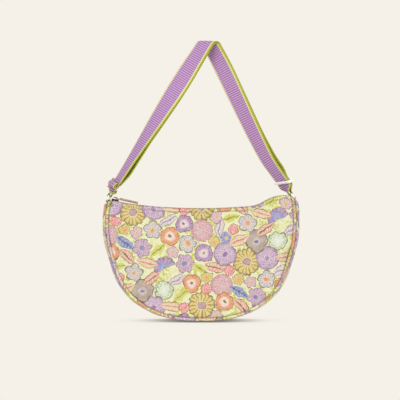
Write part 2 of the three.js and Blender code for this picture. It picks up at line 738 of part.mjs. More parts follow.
const printedCotton = material('#e6e3c3', 0.85, 0);
const pipedCotton = material('#d8b9cf', 0.85, 0);
const zipTape = material('#e9e6cf', 0.8, 0);
const webbing = material('#bc96c0', 0.75, 0);
const nickel = material('#d9cfcb', 0.25, 1);
const gunmetal = material('#5c5550', 0.35, 1);
const rosePull = material('#d9b3ae', 0.3, 1);

const bag = new THREE.Group();
bag.position.set(-HANG.x, 0, -HANG.z);

function add(parent, name, geometry, finish) {
  const mesh = new THREE.Mesh(geometry, finish);
  mesh.name = name;
  parent.add(mesh);
  return mesh;
}

add(bag, 'front_panel', panel(FRONT), printedCotton);
add(bag, 'back_panel', panel(BACK), printedCotton);
add(bag, 'gusset', gusset(), printedCotton);
add(bag, 'piping_front', piping(FRONT), pipedCotton);
add(bag, 'piping_back', piping(BACK), pipedCotton);
add(bag, 'top_strip_front', topStrip(FRONT), printedCotton);
add(bag, 'top_strip_back', topStrip(BACK), printedCotton);
add(bag, 'zip', zip(), zipTape);
add(bag, 'tab_left', tab(LEFT_TAB), printedCotton);
add(bag, 'tab_right', tab(RIGHT_TAB), printedCotton);
add(bag, 'ring_left', ring(LEFT), nickel);
add(bag, 'ring_right', ring(RIGHT), nickel);
add(bag, 'strap', strap(), webbing);
add(bag, 'strap_adjuster', adjuster(), nickel);
add(bag, 'strap_keeper', keeper(), nickel);

const slope = Math.atan2(zipHeight(SLIDE.x + 1) - zipHeight(SLIDE.x - 1), 2);
const closure = new THREE.Group();
closure.position.set(SLIDE.x, 0, zipHeight(SLIDE.x));
closure.rotation.y = -slope;
bag.add(closure);
add(closure, 'zip_slider', zipSlider(), gunmetal);
const puller = add(closure, 'zip_puller', zipPuller(), rosePull);
puller.position.set(PIN.x, 0, SLIDE.top + GAP + PULL.thickness / 2);

const whole = new THREE.Group();
whole.add(bag);
export default whole;
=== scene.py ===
import math
import random

import bmesh
import bpy
from mathutils import Matrix, Vector, noise


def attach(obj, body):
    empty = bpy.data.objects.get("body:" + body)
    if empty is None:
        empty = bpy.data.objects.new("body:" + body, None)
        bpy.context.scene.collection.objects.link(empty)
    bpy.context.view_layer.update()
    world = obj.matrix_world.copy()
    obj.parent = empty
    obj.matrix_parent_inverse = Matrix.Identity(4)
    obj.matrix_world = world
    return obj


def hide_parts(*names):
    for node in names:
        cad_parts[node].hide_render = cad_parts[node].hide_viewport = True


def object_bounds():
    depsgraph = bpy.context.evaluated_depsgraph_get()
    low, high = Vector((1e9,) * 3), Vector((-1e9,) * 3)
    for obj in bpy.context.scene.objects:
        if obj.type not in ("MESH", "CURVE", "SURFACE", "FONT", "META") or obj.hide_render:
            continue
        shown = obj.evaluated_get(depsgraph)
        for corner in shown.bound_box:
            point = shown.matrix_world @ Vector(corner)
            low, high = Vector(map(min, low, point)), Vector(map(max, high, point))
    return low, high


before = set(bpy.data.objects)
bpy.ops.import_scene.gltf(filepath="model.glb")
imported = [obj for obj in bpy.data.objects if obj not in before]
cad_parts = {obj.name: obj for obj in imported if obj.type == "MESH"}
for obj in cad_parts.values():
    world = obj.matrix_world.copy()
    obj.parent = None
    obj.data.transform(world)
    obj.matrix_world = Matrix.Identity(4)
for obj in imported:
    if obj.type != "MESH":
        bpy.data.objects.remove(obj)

CAD_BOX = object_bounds()

# Shapes are worked out in millimetres from the middle of the bag's bottom, with x to the viewer's
# right, y away from the viewer and z up. TO_FRAME turns them into the frame's metres, whose origin
# is the place where the strap hangs.
HANG = Vector((11, 0, 425))
MILLIMETRE = 0.001
TO_FRAME = Matrix.Scale(MILLIMETRE, 4) @ Matrix.Translation(-HANG)
FRONT, BACK = -1, 1
LEFT, RIGHT = -1, 1

# Bag outline: (half width, drop, rise) of the gusset's crest and of the seam
WIDEST_HEIGHT = 150
# The sides draw in a little below the widest place
TAPER, TAPER_HEIGHT, TAPER_REACH = 0.027, 87, 33
OUTLINE_POWER = 2 / 2.4
CREST = (150, 150, 106.4)
SEAM = (142.5, 146.5, 97)
CORNER_ANGLE = math.radians(105)
CORNER_HALF_DEPTH, BOTTOM_HALF_DEPTH = 22, 36
# How much shorter the gusset is along its middle, to leave room for the tabs and rings
TAB_NOTCH = math.radians(4.6)
# The right corner is pulled up by its strap, most of all a little way in from the corner
LIFT_HEIGHT, LIFT_FROM, LIFT_FULL = 11, 78, 118
LIFT_FALL, LIFT_FALL_FROM, LIFT_FALL_TO = 0.6, 122, 150
LIFT_LOW, LIFT_HIGH = 110, 178
ZIP_LIFT = 0.5

# Cloth
CLOTH = 2.0
PIPING_RADIUS = 2.1
PANEL_INSET = 2.6
PANEL_SWELL = 16
PANEL_CORNER_ANGLE = math.radians(104)
PANEL_TOP_HALF_WIDTH = 134.8
# Slack places in the panels: x, z, reach across, reach up, depth
DENTS = (
    (-106, 150, 13, 28, 3.2),
    (108, 154, 12, 32, 3.6),
    (-64, 38, 30, 11, 1.6),
    (72, 44, 26, 12, 2.0),
    (-20, 158, 50, 9, 1.4),
)
# A panel turns in to its seam: reach of the turn up the panel, and its inset and depth at the seam
TUCK_REACH, TUCK_INSET, TUCK_DEPTH = 3.2, 1.2, 2.2
# Unevenness of the panels, coarse and fine: height, reach across, reach up, layer of the noise
UNEVEN = ((1.5, 34, 27, 4), (0.5, 13, 16, 9))
PUCKER_PITCH, PUCKER_DEPTH, PUCKER_REACH = 8.5, 0.55, 6
# Gathers wander along the seam and differ in strength: how much, and over what length
PUCKER_WANDER, WANDER_LENGTH, PUCKER_STRENGTH, STRENGTH_LENGTH = 0.8, 23, 0.6, 31
# Stitched creases: how much darker they are, their reach from a seam, and the shade of the hem's
# groove and edge beside them
CREASE_SHADE, CREASE_REACH, GROOVE_SHADE, HEM_EDGE_SHADE = 0.72, 3.2, 0.7, 0.45
# Hem: its depth, the roll of its edge and the roll's reach, and the groove that its stitches pull
HEM, HEM_ROLL, HEM_ROLL_REACH, GROOVE_DEPTH, GROOVE_HALF = 5.5, 1.2, 1.5, 0.5, 0.9
STITCH_PITCH, STITCH_LENGTH, STITCH_RADIUS = 3.4, 2.5, 0.26
# The gusset is crowned by this power between its seams, and ends just short of them
CROWN_POWER, GUSSET_GAP = 4, 1.0
# The piping's cover: pitch and height of its slanting wrinkles, length and height of its lumps
WRINKLE_PITCH, WRINKLE_HEIGHT, LUMP_LENGTH, LUMP_HEIGHT = 4.3, 0.06, 6, 0.1
# The piping's cover is cut on the cross: the share of its length along each thread, and its width so
CROSS_GRAIN, COVER_WIDTH = 0.7, 9
# Where each piece is cut from the printed cloth
CUT_BACK, CUT_GUSSET, CUT_PIPING, CUT_STRIP, CUT_TAB = 60, (20, 40), (37, 11), (31, 77), (50, 63)
# Columns and rows of quads in each sheet
PANEL_GRID, GUSSET_GRID, PIPING_GRID = (220, 110), (420, 36), (480, 12)
STRIP_GRID, TAPE_GRID, TAB_GRID = (200, 8), (180, 12), (72, 16)
HEM_STEPS = 240
# How much closer together a panel's rows lie near the seam and the hem
ROW_CROWDING = 0.75
# The panels settle as a coarse sheet without their narrow corners, cut a little larger than its place
SETTLE_COLUMNS, SETTLE_ROWS, SETTLE_EDGE, SETTLE_FRAMES, SETTLE_SLACK = 60, 36, 0.1, 24, 0.012

# Mouth of the bag
TOP_HEIGHT, TOP_RISE = 170.7, 10.8
TOP_MIDDLE_DEPTH, TOP_END_DEPTH = 13, 22
ZIP_HEIGHT, ZIP_RISE, ZIP_CURVE, ZIP_HALF_LENGTH = 167.5, 15, 2.2, 138.5
TAPE_HALF, TAPE_THICK, TAPE_BELOW_STRIP, TAPE_BEND = 8, 0.8, 0.5, 1.5
COIL_HEIGHT, COIL_PITCH, COIL_END, COIL_ROW, COIL_SLANT = 2.0, 1.5, 2, 1.25, 0.14
# A coil loop's half width across the zip, and its half length for the pitch
COIL_LOOP_HALF, COIL_LOOP_SHARE = 1.55, 0.42
STRIP_THICK, STRIP_INNER, STRIP_HALF_LENGTH, STRIP_WIDTH = 1.5, 5.8, 135, 9
# The strip's places: clear of the panel's edge, over the tape, and below and inside the panel's edge
STRIP_CLEARANCE, STRIP_OVER_TAPE, STRIP_BELOW_EDGE, STRIP_INSIDE_EDGE = 0.9, 0.3, 1, 1.8
RIPPLE_HEIGHT, RIPPLE_LENGTH, STRIP_TURN_UNDER, STRIP_TURN_SHARE = 0.25, 9, 0.5, 0.2
SLIDE_X = -132.5
# Slider: plate and flanges from low to high, and how much narrower it is at its nose
SLIDER_HALF_LENGTH, SLIDER_HALF_WIDTH, FLANGE_INNER = 5.25, 5.2, 3.2
PLATE_LOW, PLATE_HIGH, FLANGE_LOW, FLANGE_HIGH = 2.4, 4.0, 0.4, 3.6
NOSE_SHARE, NOSE_FROM = 0.78, -1
PIVOT = Vector((1.2, 0, 5.1))
PULL_LENGTH, PULL_HALF, PULL_THICK, GRIP_THICK = 34, 4, 1.6, 3.4
EYE_HALF, EYE_LENGTH, PIN_RADIUS = 1.9, 5, 0.75

# Strap and fittings
WEBBING_WIDTH, WEBBING_THICK, LAYER = 30, 1.5, 1.05
PEG_RADIUS, PEG_CLEARANCE = 3, 0.3
WRAP_RADIUS = PEG_RADIUS + WEBBING_THICK + PEG_CLEARANCE
# The peg comes forward and down a little at its right end, so the strap lies turned where it folds
PEG_TURN, PEG_SLOPE, WRAP_SLANT = math.radians(35), math.radians(5), math.radians(24)
SWING = 36
# The right leg hangs in a slight bow inwards
BOW, BOW_START, BOW_DEEPEST = {LEFT: 0, RIGHT: 6.2}, 5, 70
RIB_PITCH, RIB_HEIGHT, SELVEDGE = 3.35, 0.24, 2.3
# The ribs fade out between these distances from the middle, and stand on a slightly thinner web
RIB_FADE, RIB_END, RIB_ALLOWANCE = 12.5, 14.2, 0.2
ROWS_PER_RIB, WEBBING_COLUMNS = 5, 20
EYE_MID = 2.35
RING_WIRE, RING_INSIDE, RING_SPACING, RING_CORNER = 1.3, 32.6, 8.4, 2.4
TABS = {LEFT: Vector((-142.6, 0, 182.4)), RIGHT: Vector((142.6, 0, 186.5))}
RING_LEAN = {LEFT: Vector((0.25, 0, 0.968)).normalized(), RIGHT: Vector((-0.6, 0, 0.8))}
TAB_WIDTH, TAB_MID, TAB_STEM, TAB_THICK, TAB_HALF_GAP = 24, 2.4, 15, 1.3, 0.06
ADJUSTER_AT, ADJUSTER_OFFSET = 17.6, 3.4
# The angle at which the strap's end stops on the adjuster's middle bar
STRAP_END_TURN = 2.45 * math.pi
ADJUSTER_PITCH, ADJUSTER_BAR, ADJUSTER_SLOT, ADJUSTER_OUTER = 7.5, 2.2, 31.4, 36.6
KEEPER_AT, KEEPER_INSIDE, KEEPER_CLEAR, KEEPER_TILT = 21.2, 33.4, 2.4, math.radians(12)
# The keeper's wire is pressed flat, wider along the strap
KEEPER_FLATTENED = 1.8

# How far the strap is turned edge-on along each leg: distance above the ring bar, and degrees
TWIST = {
    LEFT: ((2.2, 90), (8.8, 65), (27, 65), (60, 61), (95, 53), (152, 35), (205, 20)),
    RIGHT: ((3, 90), (15, 56), (27, 56), (94, 45), (163, 35), (210, 30)),
}

# Where each layer runs: distance above the ring bar, and offset outwards from the doubled strap's middle
HUMP = 7.55
LEFT_OUTER = (
    (0, EYE_MID), (2.4, EYE_MID), (6, 1.4), (10.2, LAYER), (12.3, 1.75), (12.85, 3.4), (13.7, 5.6),
    (15.4, 7.05), (ADJUSTER_AT, HUMP), (19.8, 7.05), (21.5, 5.6), (22.35, 3.4), (22.9, 1.75), (25, LAYER),
    (32, LAYER), (90, LAYER), (180, LAYER), (267, LAYER),
)
LEFT_INNER = (
    (ADJUSTER_AT, 1.05), (20.1, 0.55), (22.1, -0.4), (24.4, -1.2), (33, -3.2), (45, -4.8), (70, -3.9),
    (110, -2), (160, -1.8), (200, -1.4), (240, -LAYER), (267, -LAYER),
)
LEFT_TAIL = ((0, -EYE_MID), (2.4, -EYE_MID), (6.5, -1.0), (12.4, -0.7))
RIGHT_OUTER = (
    (0, EYE_MID), (3, EYE_MID), (7, 2), (13, 1.35), (KEEPER_AT, LAYER), (26, 1.1), (31, 2.3), (37, 4.3),
    (46, 5.2), (66, 4.4), (104, 2.1), (150, 1.5), (200, LAYER), (252, LAYER),
)
RIGHT_INNER = (
    (0, -EYE_MID), (3, -EYE_MID), (7, -2), (13, -1.35), (KEEPER_AT, -LAYER), (60, -LAYER),
    (150, -LAYER), (252, -LAYER),
)


def lerp(low, high, share):
    return low + (high - low) * share


def smoothstep(value, low, high):
    share = min(max((value - low) / (high - low), 0), 1)
    return share * share * (3 - 2 * share)


def srgb(code):
    """The linear colour of an sRGB hex value."""
    channels = [int(code[i:i + 2], 16) / 255 for i in (1, 3, 5)]
    return (*[c / 12.92 if c <= 0.04045 else ((c + 0.055) / 1.055) ** 2.4 for c in channels], 1.0)


# Materials


def add_node(tree, kind, inputs=None, **settings):
    """Adds a node, sets its settings, and sets or links its inputs."""
    node = tree.nodes.new(kind)
    for name, value in settings.items():
        setattr(node, name, value)
    for socket, value in (inputs or {}).items():
        if isinstance(value, bpy.types.NodeSocket):
            tree.links.new(value, node.inputs[socket])
        else:
            node.inputs[socket].default_value = value
    return node


def set_stops(ramp, stops):
    """Fills a colour ramp from (place, hex colour or None for bare cloth)."""
    ramp.interpolation = "LINEAR"
    while len(ramp.elements) < len(stops):
        ramp.elements.new(1.0)
    last = stops[0][1]
    for element, (place, code) in zip(ramp.elements, stops):
        last = code or last
        element.position = place
        element.color = (*srgb(last)[:3], 1.0 if code else 0.0)


def new_material(name):
    material = bpy.data.materials.new(name)
    material.use_nodes = True
    return material, material.node_tree, material.node_tree.nodes["Principled BSDF"]


OLIVE, MAUVE, LILAC, ROSE = "#7b6a42", "#ad88ab", "#d2b8ce", "#e8c3c8"
CORAL, ORANGE, YELLOW, LIME = "#ea8c86", "#f0a074", "#e2ca78", "#c9cb4e"
PERIWINKLE, BLUE, MINT, CHALK = "#9a98d0", "#7682c4", "#dbe6cc", "#e8dedb"
GROUND, FOLIAGE = "#eef1c5", "#cdd04a"
COTTON_TINT = (0.93, 0.905, 0.93)
# Every motif ends in bare cloth
BARE_CLOTH = (1, None)
# Roundness of petals, level that leaves thin strokes, size and scatter of dots, and how far below its
# heart a half bloom is cut off
PETAL_ROUNDNESS, STROKE_LEVEL, DOT_SIZE, DOT_SCATTER, HALF_CUT = 0.55, 0.6, 0.3, 0.45, 0.12
# Slant of a leaf's side veins, level that leaves them thin, and middle and half width of their band
VEIN_SLANT, VEIN_LEVEL, VEIN_MIDDLE, VEIN_HALF_BAND = 0.9, 0.5, 0.48, 0.3
# A wave texture of scale 1 repeats after this length
WAVE_PERIOD = 0.314

# The print is a dense scatter of garden flowers and leaves, drawn as if with a brush. Each bloom is
# made of rings from its heart outwards; petals is the number of its lobes and depth how far they
# are cut in. Marks are radial strokes or dots in a band: kind, count or pitch, the band's middle and
# half width, colour.
BLOOMS = {
    "marigold": dict(
        reach=21, petals=16, depth=0.12, marks=("strokes", 16, 0.64, 0.28, "#a68c52"),
        rings=(
            (0, "#c79eb0"), (0.22, "#c79eb0"), (0.26, OLIVE), (0.31, "#ead99a"), (0.8, YELLOW),
            (0.9, "#dcc470"), (0.93, OLIVE), (0.99, OLIVE),
        ),
    ),
    "pompom": dict(
        reach=18, petals=24, depth=0.05, marks=("dots", 3.0, 0.6, 0.34, "#ab86b0"),
        rings=(
            (0, "#a07ca6"), (0.18, "#a07ca6"), (0.24, "#ddcade"), (0.8, LILAC), (0.92, MAUVE),
            (0.99, "#98769a"),
        ),
    ),
    "blush": dict(
        reach=17, petals=20, depth=0.06, marks=("dots", 2.7, 0.5, 0.42, "#c48c96"),
        rings=(
            (0, ROSE), (0.7, "#e6c1c6"), (0.92, "#d2a2aa"), (0.99, "#be8e98"),
        ),
    ),
    "cup": dict(
        reach=14.5, petals=3, depth=0.14, marks=("strokes", 18, 0.78, 0.13, "#dd8355"),
        rings=(
            (0, "#857c4a"), (0.15, "#857c4a"), (0.19, "#f5e8d8"), (0.48, "#f0d2ca"), (0.58, ORANGE),
            (0.89, "#eda681"), (0.92, "#9c7650"), (0.99, "#9c7650"),
        ),
    ),
    "plum_cup": dict(
        reach=14, petals=3, depth=0.14, marks=("strokes", 18, 0.78, 0.13, "#a1739a"),
        rings=(
            (0, "#857c4a"), (0.15, "#857c4a"), (0.19, "#f0e2e6"), (0.48, "#e6c8d2"), (0.58, "#b994c0"),
            (0.89, "#c2a2ca"), (0.92, "#7c6474"), (0.99, "#7c6474"),
        ),
    ),
    "quatrefoil": dict(
        reach=18, petals=4, depth=0.2, marks=("strokes", 36, 0.58, 0.26, "#9a8880"),
        rings=(
            (0, "#7a6cb0"), (0.13, "#7a6cb0"), (0.18, "#d6c8c0"), (0.5, "#c5b6ac"), (0.88, "#b8a89e"),
            (0.92, "#75654e"), (0.99, "#75654e"),
        ),
    ),
    "apple": dict(
        reach=14.5, petals=5, depth=0.34, marks=("strokes", 15, 0.55, 0.2, "#b3a6b4"),
        rings=(
            (0, CORAL), (0.18, CORAL), (0.23, YELLOW), (0.3, YELLOW), (0.35, CHALK), (0.84, "#d6d0d4"),
            (0.89, "#8f8272"), (0.99, "#8f8272"),
        ),
    ),
    "aster": dict(
        reach=15, petals=6, depth=0.3, marks=("strokes", 18, 0.64, 0.24, "#a67e9c"),
        rings=(
            (0, BLUE), (0.17, BLUE), (0.24, "#a27ca0"), (0.34, "#d6bacb"), (0.85, LILAC), (0.92, MAUVE),
            (0.99, "#96708c"),
        ),
    ),
    "fan": dict(
        reach=17, petals=12, depth=0.1, half=True, marks=("strokes", 14, 0.74, 0.2, "#ee9a72"),
        rings=(
            (0, OLIVE), (0.1, OLIVE), (0.14, "#b2b0d8"), (0.5, PERIWINKLE), (0.9, "#8c88c2"),
            (0.93, "#70668e"), (0.99, "#70668e"),
        ),
    ),
    "cloud": dict(
        reach=15, petals=7, depth=0.2, marks=("dots", 3.6, 0.72, 0.16, "#a3b896"),
        rings=(
            (0, "#eff4e4"), (0.4, "#e2ecd8"), (0.88, MINT), (0.92, "#7f8458"), (0.99, "#7f8458"),
        ),
    ),
    "berry": dict(
        reach=8.5, petals=12, depth=0.07, marks=("dots", 2.5, 0.45, 0.42, "#f8dedb"),
        rings=(
            (0, CORAL), (0.85, "#e57f7d"), (0.92, "#c0666c"), (0.99, "#c0666c"),
        ),
    ),
    "primrose": dict(
        reach=10, petals=5, depth=0.32, marks=("strokes", 15, 0.6, 0.2, "#c690a8"),
        rings=(
            (0, LIME), (0.22, LIME), (0.28, ROSE), (0.84, "#eacbd6"), (0.9, "#9a788c"),
            (0.99, "#9a788c"),
        ),
    ),
    "violet": dict(
        reach=9, petals=5, depth=0.3, marks=("strokes", 10, 0.62, 0.2, "#7a7cb8"),
        rings=(
            (0, YELLOW), (0.24, YELLOW), (0.3, PERIWINKLE), (0.88, "#aca6d0"), (0.99, BLUE),
        ),
    ),
    "buttercup": dict(
        reach=9, petals=6, depth=0.24, marks=("strokes", 12, 0.62, 0.22, "#c2a754"),
        rings=(
            (0, ORANGE), (0.26, ORANGE), (0.32, YELLOW), (0.86, "#ecdc98"), (0.91, OLIVE), (0.99, OLIVE),
        ),
    ),
}
# Leaves: half length, half width, colour rings from midrib to edge, pitch and colour of the side veins
LEAVES = {
    "rose_leaf": dict(
        reach=17, half_width=7.5, veins=(4.2, "#f4ddd2"),
        rings=(
            (0, OLIVE), (0.1, OLIVE), (0.14, "#ecb4a2"), (0.82, "#e4a08e"), (0.88, "#86653f"),
            (0.98, "#86653f"),
        ),
    ),
    "blue_leaf": dict(
        reach=16, half_width=7.5, veins=(5, "#b4bcd8"),
        rings=(
            (0, "#5f659c"), (0.12, "#5f659c"), (0.18, BLUE), (0.86, "#8f94c2"), (0.98, "#5f659c"),
        ),
    ),
    "lilac_leaf": dict(
        reach=16, half_width=7, veins=(4.6, "#efe6ea"),
        rings=(
            (0, "#a58a9a"), (0.1, "#a58a9a"), (0.16, "#dfd2d8"), (0.84, "#d4c2cc"), (0.9, "#8d7b80"),
            (0.98, "#8d7b80"),
        ),
    ),
    "lime_leaf": dict(
        reach=15, half_width=5.8, veins=(3.4, "#e6e48c"),
        rings=(
            (0, "#9c9a3c"), (0.12, "#9c9a3c"), (0.2, LIME), (0.98, "#d8d86c"),
        ),
    ),
    "peach_leaf": dict(
        reach=17, half_width=8, veins=(4, "#f5e2cc"),
        rings=(
            (0, "#cf926c"), (0.1, "#cf926c"), (0.16, "#f0d0b6"), (0.83, "#e8bd9f"), (0.89, "#8c7350"),
            (0.98, "#8c7350"),
        ),
    ),
}
# One repeat of the print, which the next one follows in a half drop: how often each motif is in it
REPEAT_WIDE, REPEAT_TALL = 172, 148
# Spreading the motifs: room that a bloom and a leaf take for their reach, rounds, the share of an
# overlap that one push clears, and how much further apart two motifs of one kind keep
BLOOM_ROOM, LEAF_ROOM, SPREAD_ROUNDS, SPREAD_PUSH, TWIN_APART = 1.12, 0.8, 160, 0.22, 24
SCATTER_SEED = 11
REPEAT = {
    "marigold": 2, "pompom": 2, "quatrefoil": 1, "blush": 2, "fan": 1, "lilac_leaf": 3, "rose_leaf": 3,
    "peach_leaf": 3, "aster": 2, "cloud": 1, "blue_leaf": 1, "apple": 3, "cup": 3, "plum_cup": 2,
    "lime_leaf": 4, "primrose": 3, "violet": 1, "buttercup": 3, "berry": 4,
}


def to_lattice(place):
    across = place.x / REPEAT_WIDE
    return Vector((across, place.y / REPEAT_TALL - across / 2))


def from_lattice(cell):
    return Vector((cell.x * REPEAT_WIDE, (cell.y + cell.x / 2) * REPEAT_TALL))


def spread_motifs():
    """Places and turns for one repeat's motifs, pushed apart in rounds so that they lie more evenly."""
    draw = random.Random(SCATTER_SEED)
    names = [name for name, count in REPEAT.items() for _ in range(count)]
    reaches = [
        BLOOM_ROOM * BLOOMS[name]["reach"] if name in BLOOMS else LEAF_ROOM * LEAVES[name]["reach"]
        for name in names
    ]
    places = [Vector((draw.random() * REPEAT_WIDE, draw.random() * REPEAT_TALL)) for _ in names]
    for _ in range(SPREAD_ROUNDS):
        for i, place in enumerate(places):
            for j, other in enumerate(places):
                if i == j:
                    continue
                cell = to_lattice(place - other)
                away = from_lattice(Vector((cell.x - round(cell.x), cell.y - round(cell.y))))
                overlap = reaches[i] + reaches[j] - away.length
                if names[i] == names[j]:
                    overlap += TWIN_APART
                if overlap > 0:
                    place = place + away.normalized() * overlap * SPREAD_PUSH
                    places[i] = place
    return [(name, to_lattice(place), draw.random() * 2 * math.pi) for name, place in zip(names, places)]


def new_motif(name):
    """An empty node group from a place in millimetres to a colour and how far it covers the cloth."""
    group = bpy.data.node_groups.new(name, "ShaderNodeTree")
    group.interface.new_socket("Place", in_out="INPUT", socket_type="NodeSocketVector")
    group.interface.new_socket("Colour", in_out="OUTPUT", socket_type="NodeSocketColor")
    group.interface.new_socket("Cover", in_out="OUTPUT", socket_type="NodeSocketFloat")
    place = add_node(group, "NodeGroupInput").outputs["Place"]
    axes = add_node(group, "ShaderNodeSeparateXYZ", {0: place}).outputs
    return group, place, axes[0], axes[1]


def close_motif(group, ring, mark, mark_colour, cover):
    """Lays a motif's marks over its rings and joins them to the group's output."""
    colour = {0: mark, 6: ring, 7: srgb(mark_colour)}
    colour = add_node(group, "ShaderNodeMix", colour, data_type="RGBA").outputs[2]
    add_node(group, "NodeGroupOutput", {"Colour": colour, "Cover": cover})
    return group


def bloom(name, reach, petals, depth, rings, marks, half=False):
    group, place, x, y = new_motif(name)
    angle = add_node(group, "ShaderNodeMath", {0: y, 1: x}, operation="ARCTAN2").outputs[0]
    turns = add_node(group, "ShaderNodeMath", {0: angle, 1: petals / 2}, operation="MULTIPLY").outputs[0]
    wave = add_node(group, "ShaderNodeMath", {0: turns}, operation="COSINE").outputs[0]
    lobe = add_node(group, "ShaderNodeMath", {0: wave}, operation="ABSOLUTE").outputs[0]
    lobe = {0: lobe, 1: PETAL_ROUNDNESS}
    lobe = add_node(group, "ShaderNodeMath", lobe, operation="POWER").outputs[0]
    edge = {0: lobe, 1: reach * depth, 2: reach * (1 - depth)}
    edge = add_node(group, "ShaderNodeMath", edge, operation="MULTIPLY_ADD").outputs[0]
    distance = add_node(group, "ShaderNodeVectorMath", {0: place}, operation="LENGTH").outputs["Value"]
    out = add_node(group, "ShaderNodeMath", {0: distance, 1: edge}, operation="DIVIDE").outputs[0]
    ring = add_node(group, "ShaderNodeValToRGB", {0: out})
    set_stops(ring.color_ramp, (*rings, BARE_CLOTH))
    kind, count, middle, half_band, mark_colour = marks
    if kind == "strokes":
        mark = add_node(group, "ShaderNodeMath", {0: angle, 1: count}, operation="MULTIPLY").outputs[0]
        mark = add_node(group, "ShaderNodeMath", {0: mark}, operation="SINE").outputs[0]
        mark = {0: mark, 1: STROKE_LEVEL}
        mark = add_node(group, "ShaderNodeMath", mark, operation="GREATER_THAN").outputs[0]
    else:
        dots = {"Vector": place, "Scale": 1 / count, "Randomness": DOT_SCATTER}
        dots = add_node(group, "ShaderNodeTexVoronoi", dots, voronoi_dimensions="2D").outputs["Distance"]
        mark = {0: dots, 1: DOT_SIZE}
        mark = add_node(group, "ShaderNodeMath", mark, operation="LESS_THAN").outputs[0]
    band = {0: out, 1: middle, 2: half_band}
    band = add_node(group, "ShaderNodeMath", band, operation="COMPARE").outputs[0]
    mark = add_node(group, "ShaderNodeMath", {0: mark, 1: band}, operation="MULTIPLY").outputs[0]
    cover = ring.outputs["Alpha"]
    if half:
        above = {0: y, 1: -HALF_CUT * reach}
        above = add_node(group, "ShaderNodeMath", above, operation="GREATER_THAN").outputs[0]
        cover = add_node(group, "ShaderNodeMath", {0: cover, 1: above}, operation="MULTIPLY").outputs[0]
    return close_motif(group, ring.outputs["Color"], mark, mark_colour, cover)


def leaf(name, reach, half_width, rings, veins):
    group, _, x, y = new_motif(name)
    aside = add_node(group, "ShaderNodeMath", {0: y}, operation="ABSOLUTE").outputs[0]
    share = add_node(group, "ShaderNodeMath", {0: x, 1: 1 / reach}, operation="MULTIPLY").outputs[0]
    taper = add_node(group, "ShaderNodeMath", {0: share, 1: share}, operation="MULTIPLY").outputs[0]
    taper = {0: taper, 1: -half_width, 2: half_width}
    taper = add_node(group, "ShaderNodeMath", taper, operation="MULTIPLY_ADD").outputs[0]
    taper = add_node(group, "ShaderNodeMath", {0: taper, 1: 0.01}, operation="MAXIMUM").outputs[0]
    out = add_node(group, "ShaderNodeMath", {0: aside, 1: taper}, operation="DIVIDE").outputs[0]
    ring = add_node(group, "ShaderNodeValToRGB", {0: out})
    set_stops(ring.color_ramp, (*rings, BARE_CLOTH))
    pitch, vein_colour = veins
    slant = {0: aside, 1: -VEIN_SLANT, 2: x}
    slant = add_node(group, "ShaderNodeMath", slant, operation="MULTIPLY_ADD").outputs[0]
    wave = {0: slant, 1: 2 * math.pi / pitch}
    wave = add_node(group, "ShaderNodeMath", wave, operation="MULTIPLY").outputs[0]
    wave = add_node(group, "ShaderNodeMath", {0: wave}, operation="SINE").outputs[0]
    mark = {0: wave, 1: VEIN_LEVEL}
    mark = add_node(group, "ShaderNodeMath", mark, operation="GREATER_THAN").outputs[0]
    band = {0: out, 1: VEIN_MIDDLE, 2: VEIN_HALF_BAND}
    band = add_node(group, "ShaderNodeMath", band, operation="COMPARE").outputs[0]
    mark = add_node(group, "ShaderNodeMath", {0: mark, 1: band}, operation="MULTIPLY").outputs[0]
    return close_motif(group, ring.outputs["Color"], mark, vein_colour, ring.outputs["Alpha"])


